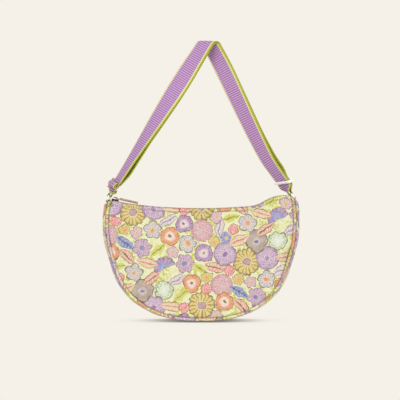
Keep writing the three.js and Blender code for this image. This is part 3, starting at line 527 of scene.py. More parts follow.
def printed_cotton():
    """Plain-woven cotton printed all over with flowers on a pale lime ground: matt, with a soft bloom
    at grazing angles. The threads are 0.5 mm apart and are drawn at 1 mm, so that they show."""
    material, tree, shader = new_material("printed_cotton")
    uv = add_node(tree, "ShaderNodeUVMap", uv_map="print").outputs[0]
    waver_length, waver_reach, patch_length, sprig_pitch = 11, 6, 24, 4.4
    wash_length, ink_length, thread = 7, 2.2, 1.0
    # The hand that drew it wavers by a millimetre or two
    waver = {"Vector": uv, "Scale": 1 / waver_length, "Detail": 2.0}
    waver = add_node(tree, "ShaderNodeTexNoise", waver, noise_dimensions="2D").outputs["Color"]
    waver = {0: waver, 1: (0.5, 0.5, 0.5)}
    waver = add_node(tree, "ShaderNodeVectorMath", waver, operation="SUBTRACT").outputs[0]
    place = {0: waver, 1: (waver_reach, waver_reach, 0), 2: uv}
    place = add_node(tree, "ShaderNodeVectorMath", place, operation="MULTIPLY_ADD").outputs[0]
    across = {0: place, 1: (1 / REPEAT_WIDE, 0, 0)}
    across = add_node(tree, "ShaderNodeVectorMath", across, operation="DOT_PRODUCT").outputs["Value"]
    up = {0: place, 1: (-0.5 / REPEAT_WIDE, 1 / REPEAT_TALL, 0)}
    up = add_node(tree, "ShaderNodeVectorMath", up, operation="DOT_PRODUCT").outputs["Value"]
    cell = add_node(tree, "ShaderNodeCombineXYZ", {0: across, 1: up, 2: 1.0}).outputs[0]

    # Ground with a wash of lime foliage in patches
    patches = {"Vector": uv, "Scale": 1 / patch_length, "Detail": 1.0}
    patches = add_node(tree, "ShaderNodeTexNoise", patches, noise_dimensions="2D").outputs["Fac"]
    patches = add_node(tree, "ShaderNodeMapRange", {0: patches, 1: 0.42, 2: 0.58}).outputs[0]
    sprigs = {"Vector": place, "Scale": 1 / sprig_pitch}
    sprigs = add_node(tree, "ShaderNodeTexVoronoi", sprigs, voronoi_dimensions="2D").outputs["Distance"]
    sprigs = add_node(tree, "ShaderNodeMapRange", {0: sprigs, 1: 0.52, 2: 0.3}).outputs[0]
    foliage = add_node(tree, "ShaderNodeMath", {0: sprigs, 1: patches}, operation="MULTIPLY").outputs[0]
    colour = {0: foliage, 6: srgb(GROUND), 7: srgb(FOLIAGE)}
    colour = add_node(tree, "ShaderNodeMix", colour, data_type="RGBA").outputs[2]

    groups = {name: bloom(name, **form) for name, form in BLOOMS.items()}
    groups.update({name: leaf(name, **form) for name, form in LEAVES.items()})
    for name, centre, turn in spread_motifs():
        low, high = (centre.x - 0.5, centre.y - 0.5, 0), (centre.x + 0.5, centre.y + 0.5, 2)
        near = {0: cell, 1: high, 2: low}
        near = add_node(tree, "ShaderNodeVectorMath", near, operation="WRAP").outputs[0]
        rows = []
        for axis in (Vector((math.cos(turn), math.sin(turn))), Vector((-math.sin(turn), math.cos(turn)))):
            row = (axis.x * REPEAT_WIDE + axis.y * REPEAT_TALL / 2, axis.y * REPEAT_TALL)
            row = {0: near, 1: (*row, -row[0] * centre.x - row[1] * centre.y)}
            row = add_node(tree, "ShaderNodeVectorMath", row, operation="DOT_PRODUCT").outputs["Value"]
            rows.append(row)
        spot = add_node(tree, "ShaderNodeCombineXYZ", {0: rows[0], 1: rows[1]}).outputs[0]
        motif = add_node(tree, "ShaderNodeGroup", node_tree=groups[name])
        tree.links.new(spot, motif.inputs["Place"])
        colour = {0: motif.outputs["Cover"], 6: colour, 7: motif.outputs["Colour"]}
        colour = add_node(tree, "ShaderNodeMix", colour, data_type="RGBA").outputs[2]

    # The ink takes unevenly, and pales where the wash was thin
    thin = {"Vector": uv, "Scale": 1 / wash_length, "Detail": 2.0}
    thin = add_node(tree, "ShaderNodeTexNoise", thin, noise_dimensions="2D").outputs["Fac"]
    thin = add_node(tree, "ShaderNodeMapRange", {0: thin, 1: 0.35, 2: 0.7, 3: 0.0, 4: 0.24}).outputs[0]
    colour = {0: thin, 6: colour, 7: srgb(GROUND)}
    colour = add_node(tree, "ShaderNodeMix", colour, data_type="RGBA").outputs[2]
    ink = {"Vector": uv, "Scale": 1 / ink_length, "Detail": 2.0}
    ink = add_node(tree, "ShaderNodeTexNoise", ink, noise_dimensions="2D").outputs["Fac"]
    ink = add_node(tree, "ShaderNodeMapRange", {0: ink, 1: 0.3, 2: 0.7, 3: 0.86, 4: 1.04}).outputs[0]
    # Cloth lies in shade in the stitched creases
    crease = add_node(tree, "ShaderNodeAttribute", attribute_name="crease").outputs["Fac"]
    shade = {0: crease, 1: -CREASE_SHADE, 2: 1.0}
    shade = add_node(tree, "ShaderNodeMath", shade, operation="MULTIPLY_ADD").outputs[0]
    ink = add_node(tree, "ShaderNodeMath", {0: ink, 1: shade}, operation="MULTIPLY").outputs[0]
    colour = add_node(tree, "ShaderNodeVectorMath", {0: colour, "Scale": ink}, operation="SCALE").outputs[0]
    # Unbleached cotton warms every colour printed on it
    colour = {0: colour, 1: COTTON_TINT}
    colour = add_node(tree, "ShaderNodeVectorMath", colour, operation="MULTIPLY").outputs[0]
    tree.links.new(colour, shader.inputs["Base Color"])

    threads = {"Vector": uv, "Scale": WAVE_PERIOD / thread}
    warp = add_node(tree, "ShaderNodeTexWave", threads, bands_direction="X").outputs["Fac"]
    weft = add_node(tree, "ShaderNodeTexWave", threads, bands_direction="Y").outputs["Fac"]
    weave = add_node(tree, "ShaderNodeMath", {0: warp, 1: weft}, operation="MAXIMUM").outputs[0]
    bump = {"Height": weave, "Strength": 0.35, "Distance": 0.00012}
    bump = add_node(tree, "ShaderNodeBump", bump).outputs[0]
    tree.links.new(bump, shader.inputs["Normal"])
    shader.inputs["Roughness"].default_value = 0.82
    shader.inputs["Sheen Weight"].default_value = 0.15
    shader.inputs["Specular IOR Level"].default_value = 0.25
    return material


def webbing(name, crest, valley, margin, selvedge):
    """Ribbed cotton webbing: a matt face with crosswise ribs, between bright selvedges. The ribs' crests are
    coloured lighter and their valleys darker, as painted light and shade over the real ribs.
    """
    material, tree, shader = new_material(name)
    uv = add_node(tree, "ShaderNodeUVMap", uv_map="print").outputs[0]
    axes = add_node(tree, "ShaderNodeSeparateXYZ", {0: uv}).outputs
    rib = {0: axes[0], 1: 2 * math.pi / RIB_PITCH}
    rib = add_node(tree, "ShaderNodeMath", rib, operation="MULTIPLY").outputs[0]
    rib = add_node(tree, "ShaderNodeMath", {0: rib}, operation="COSINE").outputs[0]
    rib = add_node(tree, "ShaderNodeMapRange", {0: rib, 1: -0.6, 2: 0.7}).outputs[0]
    # Painted light and shade: each rib's crest takes the lighter colour and its valley the darker one
    face = {0: rib, 6: srgb(valley), 7: srgb(crest)}
    face = add_node(tree, "ShaderNodeMix", face, data_type="RGBA").outputs[2]
    # A pale margin on both sides, and one selvedge in lime
    aside = add_node(tree, "ShaderNodeMath", {0: axes[1], 1: SELVEDGE / 2}, operation="ADD").outputs[0]
    aside = add_node(tree, "ShaderNodeMath", {0: aside}, operation="ABSOLUTE").outputs[0]
    inner, outer = WEBBING_WIDTH / 2 - 1.4 * SELVEDGE, WEBBING_WIDTH / 2 - SELVEDGE
    for distance, start, code in ((aside, inner, margin), (axes[1], outer, selvedge)):
        border = {0: distance, 1: start, 2: start + 0.3}
        border = add_node(tree, "ShaderNodeMapRange", border).outputs[0]
        face = {0: border, 6: face, 7: srgb(code)}
        face = add_node(tree, "ShaderNodeMix", face, data_type="RGBA").outputs[2]
    # Threads differ a little in shade
    yarn = {"Vector": uv, "Scale": 1.3, "Detail": 2.0}
    yarn = add_node(tree, "ShaderNodeTexNoise", yarn, noise_dimensions="2D").outputs["Fac"]
    yarn = add_node(tree, "ShaderNodeMapRange", {0: yarn, 1: 0.3, 2: 0.7, 3: 0.88, 4: 1.06}).outputs[0]
    face = add_node(tree, "ShaderNodeVectorMath", {0: face, "Scale": yarn}, operation="SCALE").outputs[0]
    tree.links.new(face, shader.inputs["Base Color"])
    # Warp threads run along the strap
    thread = 0.8
    warp = {"Vector": uv, "Scale": WAVE_PERIOD / thread}
    warp = add_node(tree, "ShaderNodeTexWave", warp, bands_direction="Y").outputs["Fac"]
    bump = {"Height": warp, "Strength": 0.4, "Distance": 0.00015}
    bump = add_node(tree, "ShaderNodeBump", bump).outputs[0]
    tree.links.new(bump, shader.inputs["Normal"])
    shader.inputs["Roughness"].default_value = 0.78
    shader.inputs["Sheen Weight"].default_value = 0.1
    shader.inputs["Specular IOR Level"].default_value = 0.25
    return material


def zip_tape():
    """Woven polyester tape, a fine twill of pale thread with a low sheen."""
    material, tree, shader = new_material("zip_tape")
    place = add_node(tree, "ShaderNodeTexCoord").outputs["Object"]
    twill_pitch = 0.9 * MILLIMETRE
    twill = {"Vector": place, "Scale": WAVE_PERIOD / twill_pitch}
    twill = add_node(tree, "ShaderNodeTexWave", twill, bands_direction="DIAGONAL").outputs["Fac"]
    colour = {0: twill, 6: srgb("#d9d6bb"), 7: srgb("#f0edda")}
    colour = add_node(tree, "ShaderNodeMix", colour, data_type="RGBA").outputs[2]
    tree.links.new(colour, shader.inputs["Base Color"])
    bump = {"Height": twill, "Strength": 0.4, "Distance": 0.00012}
    bump = add_node(tree, "ShaderNodeBump", bump).outputs[0]
    tree.links.new(bump, shader.inputs["Normal"])
    shader.inputs["Roughness"].default_value = 0.75
    return material


def nylon(name, code, roughness):
    """Drawn nylon filament, smooth with a soft gloss, slightly uneven in tone."""
    material, tree, shader = new_material(name)
    place = add_node(tree, "ShaderNodeTexCoord").outputs["Object"]
    tone = {"Vector": place, "Scale": 400.0, "Detail": 2.0}
    tone = add_node(tree, "ShaderNodeTexNoise", tone).outputs["Fac"]
    tone = add_node(tree, "ShaderNodeMapRange", {0: tone, 1: 0.3, 2: 0.7, 3: 0.86, 4: 1.05}).outputs[0]
    colour = {0: srgb(code)[:3], "Scale": tone}
    colour = add_node(tree, "ShaderNodeVectorMath", colour, operation="SCALE").outputs[0]
    tree.links.new(colour, shader.inputs["Base Color"])
    shader.inputs["Roughness"].default_value = roughness
    return material


def plated_metal(name, code, roughness, wear, metallic=1.0):
    """Die-cast zinc with a plated finish: bright, with faint rubbing marks and cloudier patches."""
    material, tree, shader = new_material(name)
    place = add_node(tree, "ShaderNodeTexCoord").outputs["Object"]
    cloud = {"Vector": place, "Scale": 220.0, "Detail": 4.0}
    cloud = add_node(tree, "ShaderNodeTexNoise", cloud).outputs["Fac"]
    rough = {0: cloud, 1: 0.35, 2: 0.7, 3: roughness, 4: roughness + wear}
    rough = add_node(tree, "ShaderNodeMapRange", rough).outputs[0]
    tree.links.new(rough, shader.inputs["Roughness"])
    tone = add_node(tree, "ShaderNodeMapRange", {0: cloud, 1: 0.3, 2: 0.75, 3: 1.0, 4: 0.9}).outputs[0]
    colour = {0: srgb(code)[:3], "Scale": tone}
    colour = add_node(tree, "ShaderNodeVectorMath", colour, operation="SCALE").outputs[0]
    tree.links.new(colour, shader.inputs["Base Color"])
    scuffs = {"Vector": place, "Scale": 900.0, "Detail": 3.0}
    scuffs = add_node(tree, "ShaderNodeTexNoise", scuffs).outputs["Fac"]
    bump = {"Height": scuffs, "Strength": 0.08, "Distance": 0.0001}
    bump = add_node(tree, "ShaderNodeBump", bump).outputs[0]
    tree.links.new(bump, shader.inputs["Normal"])
    shader.inputs["Metallic"].default_value = metallic
    return material


PRINT = printed_cotton()
# In each webbing the first two colours are one yarn, lighter on the rib crests and darker in the valleys as
# painted light and shade
WEBBING_FACE = webbing("webbing_lilac", "#cfa5d5", "#956c9c", "#ece5a6", "#b6bb3e")
WEBBING_BACK = webbing("webbing_lime", "#b9bc48", "#8f9430", "#c6c85c", "#b6bb3e")
WEBBING_EDGE = webbing("webbing_edge", "#b9be3e", "#a2a82e", "#b4ba38", "#b4ba38")
TAPE = zip_tape()
COIL = nylon("zip_coil", "#e4e1cd", 0.35)
THREAD = nylon("sewing_thread", "#e9e3c4", 0.6)
NICKEL = plated_metal("nickel", "#fbf9f6", 0.3, 0.06)
# The keeper's nickel is coloured white and made half diffuse, so that the lamps light it white: a painted
# highlight for its glare
GLARE_PAINTED_NICKEL = plated_metal("nickel_painted_glare", "#ffffff", 0.4, 0.06, metallic=0.4)
# The adjuster's nickel is warm in tint, and is coloured darker and pinker as painted shade and a painted
# reflection of the lilac strap
WARM_NICKEL_PAINTED_SHADE = plated_metal("warm_nickel_painted_shade", "#b99a8e", 0.3, 0.1)
# The zip slider's plating is coloured dark brown-grey as painted shade
SLIDER_METAL_PAINTED_SHADE = plated_metal("gunmetal", "#453c34", 0.4, 0.12)
ROSE_METAL = plated_metal("rose_pull", "#b79a8b", 0.3, 0.1)


# Mesh helpers


def make_piece(bm, name, materials, replaces, body="bag"):
    """Turns a mesh in millimetres into a piece of the bag, in the frame."""
    bmesh.ops.transform(bm, matrix=TO_FRAME, verts=bm.verts)
    mesh = bpy.data.meshes.new(name)
    for face in bm.faces:
        face.smooth = True
    bm.to_mesh(mesh)
    bm.free()
    for material in materials:
        mesh.materials.append(material)
    piece = bpy.data.objects.new(name, mesh)
    bpy.context.scene.collection.objects.link(piece)
    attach(piece, body)
    if replaces:
        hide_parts(*replaces)
    return piece


def thicken(piece, thickness, **settings):
    wall = piece.modifiers.new("thickness", "SOLIDIFY")
    wall.thickness = thickness * MILLIMETRE
    wall.offset = 0
    wall.use_even_offset = True
    for name, value in settings.items():
        setattr(wall, name, value)


def soft_edges(piece, width, segments=2):
    bevel = piece.modifiers.new("soft_edges", "BEVEL")
    bevel.width = width * MILLIMETRE
    bevel.segments = segments
    bevel.limit_method = "ANGLE"
    bevel.angle_limit = math.radians(40)


def cloth_grid(columns, rows, surface, flat, crease=None):
    """A sheet of quads: surface(u, v) is a vertex's place, flat(u, v, point) its place on the flat
    cloth, and crease(u, v, point) how deep it lies in a stitched crease."""
    bm = bmesh.new()
    layer = bm.loops.layers.uv.new("print")
    depth = bm.verts.layers.float.new("crease")
    bmesh.ops.create_grid(bm, x_segments=columns, y_segments=rows, size=0.5)
    shares = {vert: (vert.co.x + 0.5, vert.co.y + 0.5) for vert in bm.verts}
    for vert, share in shares.items():
        vert.co = surface(*share)
        vert[depth] = crease(*share, vert.co) if crease else 0
    flats = {vert: flat(*share, vert.co) for vert, share in shares.items()}
    for face in bm.faces:
        for loop in face.loops:
            loop[layer].uv = flats[loop.vert]
    return bm


# Bag outline


def signed_power(value):
    return math.copysign(abs(value) ** OUTLINE_POWER, value)


def rim(outline, angle):
    """A point of the crest or the seam, by its angle from the bottom."""
    half_width, drop, rise = outline
    reach = drop if math.cos(angle) > 0 else rise
    height = WIDEST_HEIGHT - reach * signed_power(math.cos(angle))
    taper = 1 - TAPER * math.exp(-((height - TAPER_HEIGHT) / TAPER_REACH) ** 2)
    return Vector((half_width * taper * signed_power(math.sin(angle)), 0, height))


def seam_inset(angle, inset):
    along = (rim(SEAM, angle + 0.002) - rim(SEAM, angle - 0.002)).normalized()
    return rim(SEAM, angle) + Vector((-along.z, 0, along.x)) * inset


def seam_half_depth(angle):
    share = max(math.cos(angle / CORNER_ANGLE * math.pi / 2), 0) ** 0.8
    return lerp(CORNER_HALF_DEPTH, BOTTOM_HALF_DEPTH, share)


def seam_lengths(steps=240):
    """Length along the seam from its left end, at equal steps of angle."""
    points = [rim(SEAM, lerp(-CORNER_ANGLE, CORNER_ANGLE, i / steps)) for i in range(steps + 1)]
    lengths = [0]
    for start, end in zip(points, points[1:]):
        lengths.append(lengths[-1] + (end - start).length)
    return lengths


SEAM_LENGTHS = seam_lengths()


def seam_arc(angle):
    place = (angle / CORNER_ANGLE + 1) / 2 * (len(SEAM_LENGTHS) - 1)
    low = min(max(int(place), 0), len(SEAM_LENGTHS) - 2)
    return lerp(SEAM_LENGTHS[low], SEAM_LENGTHS[low + 1], place - low)


def lifted(point, share=1):
    """Moves a point up where the right corner is pulled up by its strap."""
    rise = smoothstep(point.x, LIFT_FROM, LIFT_FULL)
    fall = 1 - LIFT_FALL * smoothstep(point.x, LIFT_FALL_FROM, LIFT_FALL_TO)
    point.z += share * LIFT_HEIGHT * rise * fall * smoothstep(point.z, LIFT_LOW, LIFT_HIGH)
    return point


def top_edge(x):
    """Depth and height of a panel's top edge."""
    outward = (x / rim(SEAM, CORNER_ANGLE).x) ** 2
    return lerp(TOP_MIDDLE_DEPTH, TOP_END_DEPTH, outward), TOP_HEIGHT + TOP_RISE * outward


def zip_height(x):
    return ZIP_HEIGHT + ZIP_RISE * (abs(x) / ZIP_HALF_LENGTH) ** ZIP_CURVE


def pucker(arc, distance, seed):
    """Height of the small gathers that a tight seam draws up beside it."""
    phase = arc / PUCKER_PITCH + PUCKER_WANDER * noise.noise(Vector((arc / WANDER_LENGTH, seed, 0)))
    strength = PUCKER_STRENGTH + PUCKER_STRENGTH * noise.noise(Vector((arc / STRENGTH_LENGTH, seed, 5)))
    return PUCKER_DEPTH * strength * math.cos(2 * math.pi * phase) * math.exp(-distance / PUCKER_REACH)


# Cloth pieces


def panel_point(side, u, v):
    """A point of the front or back: ruled from the seam up to the top edge, then swollen outwards."""
    angle = lerp(-PANEL_CORNER_ANGLE, PANEL_CORNER_ANGLE, u)
    x = lerp(-PANEL_TOP_HALF_WIDTH, PANEL_TOP_HALF_WIDTH, u)
    depth, height = top_edge(x)
    high = Vector((x, depth, height))
    low = seam_inset(angle, PANEL_INSET)
    low.y = seam_half_depth(angle)
    span = (high - low).length
    tuck = smoothstep(v * span, TUCK_REACH, 0)
    low = seam_inset(angle, lerp(PANEL_INSET, TUCK_INSET, tuck))
    low.y = seam_half_depth(angle) - TUCK_DEPTH * tuck
    point = low.lerp(high, v)
    rise = max(math.sin(math.pi * v), 0)
    swell = PANEL_SWELL * (span / TOP_HEIGHT) ** 0.8 * rise ** 0.8
    slack = sum(
        depth * math.exp(-(((point.x - x) / wide) ** 2) - ((point.z - z) / tall) ** 2)
        for x, z, wide, tall, depth in DENTS
    )
    soft = sum(
        height * noise.noise(Vector((point.x / wide, point.z / tall, side * layer)))
        for height, wide, tall, layer in UNEVEN
    )
    gather = pucker(seam_arc(angle), v * span, side) * (1 - tuck)
    below = (1 - v) * span
    hem = HEM_ROLL * smoothstep(below, HEM_ROLL_REACH, 0)
    hem += GROOVE_DEPTH * math.exp(-((below - HEM) / GROOVE_HALF) ** 2)
    point.y = side * (point.y + swell - (slack - soft) * rise + gather - hem)
    return lifted(point), v * span, below


def settle(surface):
    """Lets a sheet of cloth, cut a little larger than its place and sewn down all round, sag and
    buckle under its own weight with the cloth solver. Gives each point's move, in mm."""
    bm = bmesh.new()
    bmesh.ops.create_grid(bm, x_segments=SETTLE_COLUMNS, y_segments=SETTLE_ROWS, size=0.5)
    cells = {}
    for vert in bm.verts:
        i, j = round((vert.co.x + 0.5) * SETTLE_COLUMNS), round((vert.co.y + 0.5) * SETTLE_ROWS)
        cells[i, j] = vert.index
        share = lerp(SETTLE_EDGE, 1 - SETTLE_EDGE, i / SETTLE_COLUMNS)
        vert.co = surface(share, j / SETTLE_ROWS) * MILLIMETRE
    sewn = [vert.index for vert in bm.verts if vert.is_boundary]
    before = [vert.co.copy() for vert in bm.verts]
    mesh = bpy.data.meshes.new("settling")
    bm.to_mesh(mesh)
    bm.free()
    sheet = bpy.data.objects.new("settling", mesh)
    scene = bpy.context.scene
    scene.collection.objects.link(sheet)
    sheet.vertex_groups.new(name="sewn").add(sewn, 1.0, "REPLACE")
    solver = sheet.modifiers.new("settle", "CLOTH")
    cloth = solver.settings
    cloth.quality, cloth.mass, cloth.air_damping = 6, 0.001, 2
    cloth.tension_stiffness, cloth.compression_stiffness, cloth.shear_stiffness = 10, 10, 3
    cloth.bending_stiffness, cloth.shrink_min = 0.002, -SETTLE_SLACK
    cloth.vertex_group_mass = "sewn"
    solver.collision_settings.use_collision = False
    for step in range(1, SETTLE_FRAMES + 1):
        scene.frame_set(step)
    after = sheet.evaluated_get(bpy.context.evaluated_depsgraph_get()).data.vertices
    moves = {cell: (after[index].co - before[index]) / MILLIMETRE for cell, index in cells.items()}
    bpy.data.objects.remove(sheet)
    bpy.data.meshes.remove(mesh)
    scene.frame_set(1)

    def weights(t):
        """Shares of four neighbouring vertices in a smooth cubic spline."""
        before = (3 * t ** 3 - 6 * t ** 2 + 4) / 6
        after = (-3 * t ** 3 + 3 * t ** 2 + 3 * t + 1) / 6
        return (1 - t) ** 3 / 6, before, after, t ** 3 / 6

    def move(u, v):
        """The sheet's move at a point, smoothed between its vertices."""
        x = (u - SETTLE_EDGE) / (1 - 2 * SETTLE_EDGE) * SETTLE_COLUMNS
        y = v * SETTLE_ROWS
        total = Vector((0, 0, 0))
        for i, across in enumerate(weights(x - math.floor(x)), math.floor(x) - 1):
            for j, up in enumerate(weights(y - math.floor(y)), math.floor(y) - 1):
                total += moves.get((i, j), Vector((0, 0, 0))) * across * up
        return total

    return move


def panel(side, name):
    def crowded(v):
        """Rows lie closer together near the seam and the hem."""
        return v - ROW_CROWDING * math.sin(2 * math.pi * v) / (2 * math.pi)

    sag = settle(lambda u, v: panel_point(side, u, v)[0])

    def surface(u, v):
        return panel_point(side, u, crowded(v))[0] + sag(u, crowded(v))

    def flat(u, v, point):
        return (side * -point.x + (CUT_BACK if side == BACK else 0), point.z)

    def crease(u, v, point):
        _, above, below = panel_point(side, u, crowded(v))
        stitched = GROOVE_SHADE * math.exp(-((below - HEM) / GROOVE_HALF) ** 2)
        return smoothstep(above, CREASE_REACH, 0.5) + stitched + HEM_EDGE_SHADE * smoothstep(below, 2, 0.5)

    bm = cloth_grid(*PANEL_GRID, surface, flat, crease)
    if side == BACK:
        bmesh.ops.reverse_faces(bm, faces=bm.faces)
    piece = make_piece(bm, f"{name}_cloth", [PRINT], [name])
    thicken(piece, CLOTH)

    hem = []
    outward = Vector((0, side, 0))
    for i in range(HEM_STEPS + 1):
        u = i / HEM_STEPS
        span = (panel_point(side, u, 1)[0] - panel_point(side, u, 0)[0]).length
        line = 1 - HEM / span
        hem.append(panel_point(side, u, line)[0] + sag(u, line) + outward * CLOTH / 2)
    stitching(hem, f"{name}_hem_stitches", outward)


def stitching(path, name, outward):
    """A row of lockstitches along a line on the cloth, each one a short, slightly sunk thread."""
    bm = bmesh.new()
    left = 0
    for start, end in zip(path, path[1:]):
        along = end - start
        while left < along.length:
            place = start + along.normalized() * left + outward * STITCH_RADIUS * 0.5
            turn = along.to_track_quat("X", "Z").to_matrix().to_4x4()
            form = Matrix.Diagonal((STITCH_LENGTH / 2, STITCH_RADIUS, STITCH_RADIUS, 1))
            bmesh.ops.create_uvsphere(bm, u_segments=8, v_segments=6, radius=1,
                                      matrix=Matrix.Translation(place) @ turn @ form)
            left += STITCH_PITCH
        left -= along.length
    make_piece(bm, name, [THREAD], [])


def gusset():
    """The strip round the sides and the bottom, crowned between the two seams."""

    def angle_at(u, v):
        end = CORNER_ANGLE - TAB_NOTCH * (1 - (2 * v - 1) ** 4)
        return lerp(-end, end, u)

    def surface(u, v):
        angle = angle_at(u, v)
        seam = rim(SEAM, angle)
        crown = rim(CREST, angle) - seam
        half_depth = seam_half_depth(angle)
        edge = 1 - GUSSET_GAP / math.hypot(half_depth, CROWN_POWER * crown.length)
        across = lerp(-edge, edge, v)
        distance = (1 - abs(across)) * half_depth
        gather = pucker(seam_arc(angle), distance, math.copysign(3, across)) * smoothstep(distance, 0.8, 3)
        soft = 0.7 * noise.noise(Vector((seam_arc(angle) / 21, across * half_depth / 17, 2)))
        rise = 1 - across ** CROWN_POWER
        point = seam + crown * (rise + (gather + soft * rise) / crown.length)
        point.y = half_depth * across
        return lifted(point)

    def flat(u, v, point):
        angle = angle_at(u, v)
        return (seam_arc(angle) + CUT_GUSSET[0], seam_half_depth(angle) * (2 * v - 1) + CUT_GUSSET[1])

    def crease(u, v, point):
        distance = (1 - abs(2 * v - 1)) * seam_half_depth(angle_at(u, v))
        return smoothstep(distance, CREASE_REACH, 0.5)

    bm = cloth_grid(*GUSSET_GRID, surface, flat, crease)
    bmesh.ops.reverse_faces(bm, faces=bm.faces)
    piece = make_piece(bm, "gusset_cloth", [PRINT], ["gusset"])
    thicken(piece, CLOTH)


def piping(side, name):
    """A cord in the seam, covered with the print cut on the cross, so its cover wrinkles aslant."""

    def centre(angle):
        point = rim(SEAM, angle)
        point.y = side * seam_half_depth(angle)
        return lifted(point)

    def surface(u, v):
        angle = lerp(-CORNER_ANGLE, CORNER_ANGLE, u)
        along = (centre(angle + 0.004) - centre(angle - 0.004)).normalized()
        inward = Vector((0, 1, 0)).cross(along).normalized()
        outward = along.cross(inward)
        turn = 2 * math.pi * v
        arc = seam_arc(angle)
        wrinkle = math.sin(2 * math.pi * (arc / WRINKLE_PITCH + v)) * WRINKLE_HEIGHT
        lump = LUMP_HEIGHT * noise.noise(Vector((arc / LUMP_LENGTH, math.cos(turn), math.sin(turn))))
        radius = PIPING_RADIUS + (wrinkle + lump)
        return centre(angle) + inward * (radius * math.cos(turn)) + outward * (radius * math.sin(turn))

    def flat(u, v, point):
        arc = seam_arc(lerp(-CORNER_ANGLE, CORNER_ANGLE, u))
        along, across = CROSS_GRAIN * arc, COVER_WIDTH * v
        return (along + across + CUT_PIPING[0], along - across + CUT_PIPING[1])

    bm = cloth_grid(*PIPING_GRID, surface, flat)
    bmesh.ops.remove_doubles(bm, verts=bm.verts, dist=1e-4)
    bmesh.ops.holes_fill(bm, edges=bm.edges)
    bmesh.ops.recalc_face_normals(bm, faces=bm.faces)
    return make_piece(bm, f"{name}_cover", [PRINT], [name])


def strip_height(x, depth):
    edge_depth, edge_height = top_edge(x)
    inner = zip_height(x) + STRIP_OVER_TAPE + STRIP_THICK / 2
    share = (depth - STRIP_INNER) / (edge_depth - STRIP_INSIDE_EDGE - STRIP_INNER)
    return lerp(inner, edge_height - STRIP_BELOW_EDGE, share)


def top_strip(side, name):
    """A cloth strip between a panel's top edge and the zip, turned under along the zip."""

    def surface(u, v):
        x = lerp(-STRIP_HALF_LENGTH, STRIP_HALF_LENGTH, u)
        depth = lerp(STRIP_INNER, top_edge(x)[0] - STRIP_CLEARANCE, v)
        ripple = RIPPLE_HEIGHT * noise.noise(Vector((x / RIPPLE_LENGTH, side, v)))
        ripple -= STRIP_TURN_UNDER * smoothstep(v, STRIP_TURN_SHARE, 0)
        return lifted(Vector((x, side * depth, strip_height(x, depth) + ripple)), lerp(ZIP_LIFT, 1, v))

    def flat(u, v, point):
        x = lerp(-STRIP_HALF_LENGTH, STRIP_HALF_LENGTH, u)
        return (x + CUT_STRIP[0] * side, STRIP_WIDTH * v + CUT_STRIP[1] * side)

    bm = cloth_grid(*STRIP_GRID, surface, flat)
    if side == FRONT:
        bmesh.ops.reverse_faces(bm, faces=bm.faces)
    piece = make_piece(bm, f"{name}_cloth", [PRINT], [name])
    thicken(piece, STRIP_THICK)
    soft_edges(piece, width=0.5)


def zip_fastener():
    """Two tapes sewn under the strips, and the closed coil of nylon loops between them."""

    def surface(u, v):
        x = lerp(-ZIP_HALF_LENGTH, ZIP_HALF_LENGTH, u)
        y = lerp(-TAPE_HALF, TAPE_HALF, v)
        under = strip_height(x, TAPE_HALF) - STRIP_THICK / 2 - TAPE_BELOW_STRIP
        edge = min(zip_height(x), under)
        height = lerp(zip_height(x), edge, smoothstep(abs(y), STRIP_INNER - TAPE_BEND, TAPE_HALF))
        return lifted(Vector((x, y, height - TAPE_THICK / 2)), ZIP_LIFT)

    def flat(u, v, point):
        return (2 * ZIP_HALF_LENGTH * u, 2 * TAPE_HALF * v)

    bm = cloth_grid(*TAPE_GRID, surface, flat)
    tape = make_piece(bm, "zip_tape_woven", [TAPE], ["zip"])
    thicken(tape, TAPE_THICK)

    bm = bmesh.new()
    loops = int(2 * (ZIP_HALF_LENGTH - COIL_END) / COIL_PITCH)
    form = Matrix.Diagonal((COIL_PITCH * COIL_LOOP_SHARE, COIL_LOOP_HALF, COIL_HEIGHT / 2, 1))
    for i in range(loops):
        for row in (FRONT, BACK):
            x = (i - loops / 2 + row * 0.25) * COIL_PITCH
            slope = math.atan2(zip_height(x + 1) - zip_height(x - 1), 2)
            place = lifted(Vector((x, row * COIL_ROW, zip_height(x) + COIL_HEIGHT / 2)), ZIP_LIFT)
            turn = Matrix.Rotation(-slope, 4, "Y") @ Matrix.Rotation(row * COIL_SLANT, 4, "Z")
            bmesh.ops.create_uvsphere(bm, u_segments=8, v_segments=5, radius=1,
                                      matrix=Matrix.Translation(place) @ turn @ form)
    make_piece(bm, "zip_coil_loops", [COIL], ["zip"])


def tab(side, name):
    """A folded loop of cloth round the ring, sewn together below it."""
    centre = TABS[side]
    stem_half = TAB_THICK / 2 + TAB_HALF_GAP
    meet = math.asin(stem_half / TAB_MID)
    straight = TAB_STEM - TAB_MID
    turn = 2 * math.pi - 2 * meet
    length = 2 * straight + turn * TAB_MID

    def profile(along):
        if along < straight:
            return Vector((-stem_half, 0, along - TAB_STEM))
        if along > length - straight:
            return Vector((stem_half, 0, length - along - TAB_STEM))
        angle = 1.5 * math.pi - meet - (along - straight) / TAB_MID
        return Vector((TAB_MID * math.cos(angle), 0, TAB_MID * math.sin(angle)))

    def surface(u, v):
        return centre + profile(length * u) + Vector((0, TAB_WIDTH * (v - 0.5), 0))

    def flat(u, v, point):
        return (length * u + CUT_TAB[0] * side, TAB_WIDTH * v + CUT_TAB[1])

    bm = cloth_grid(*TAB_GRID, surface, flat)
    piece = make_piece(bm, f"{name}_cloth", [PRINT], [name])
    thicken(piece, TAB_THICK)
    soft_edges(piece, width=0.35)


# Strap


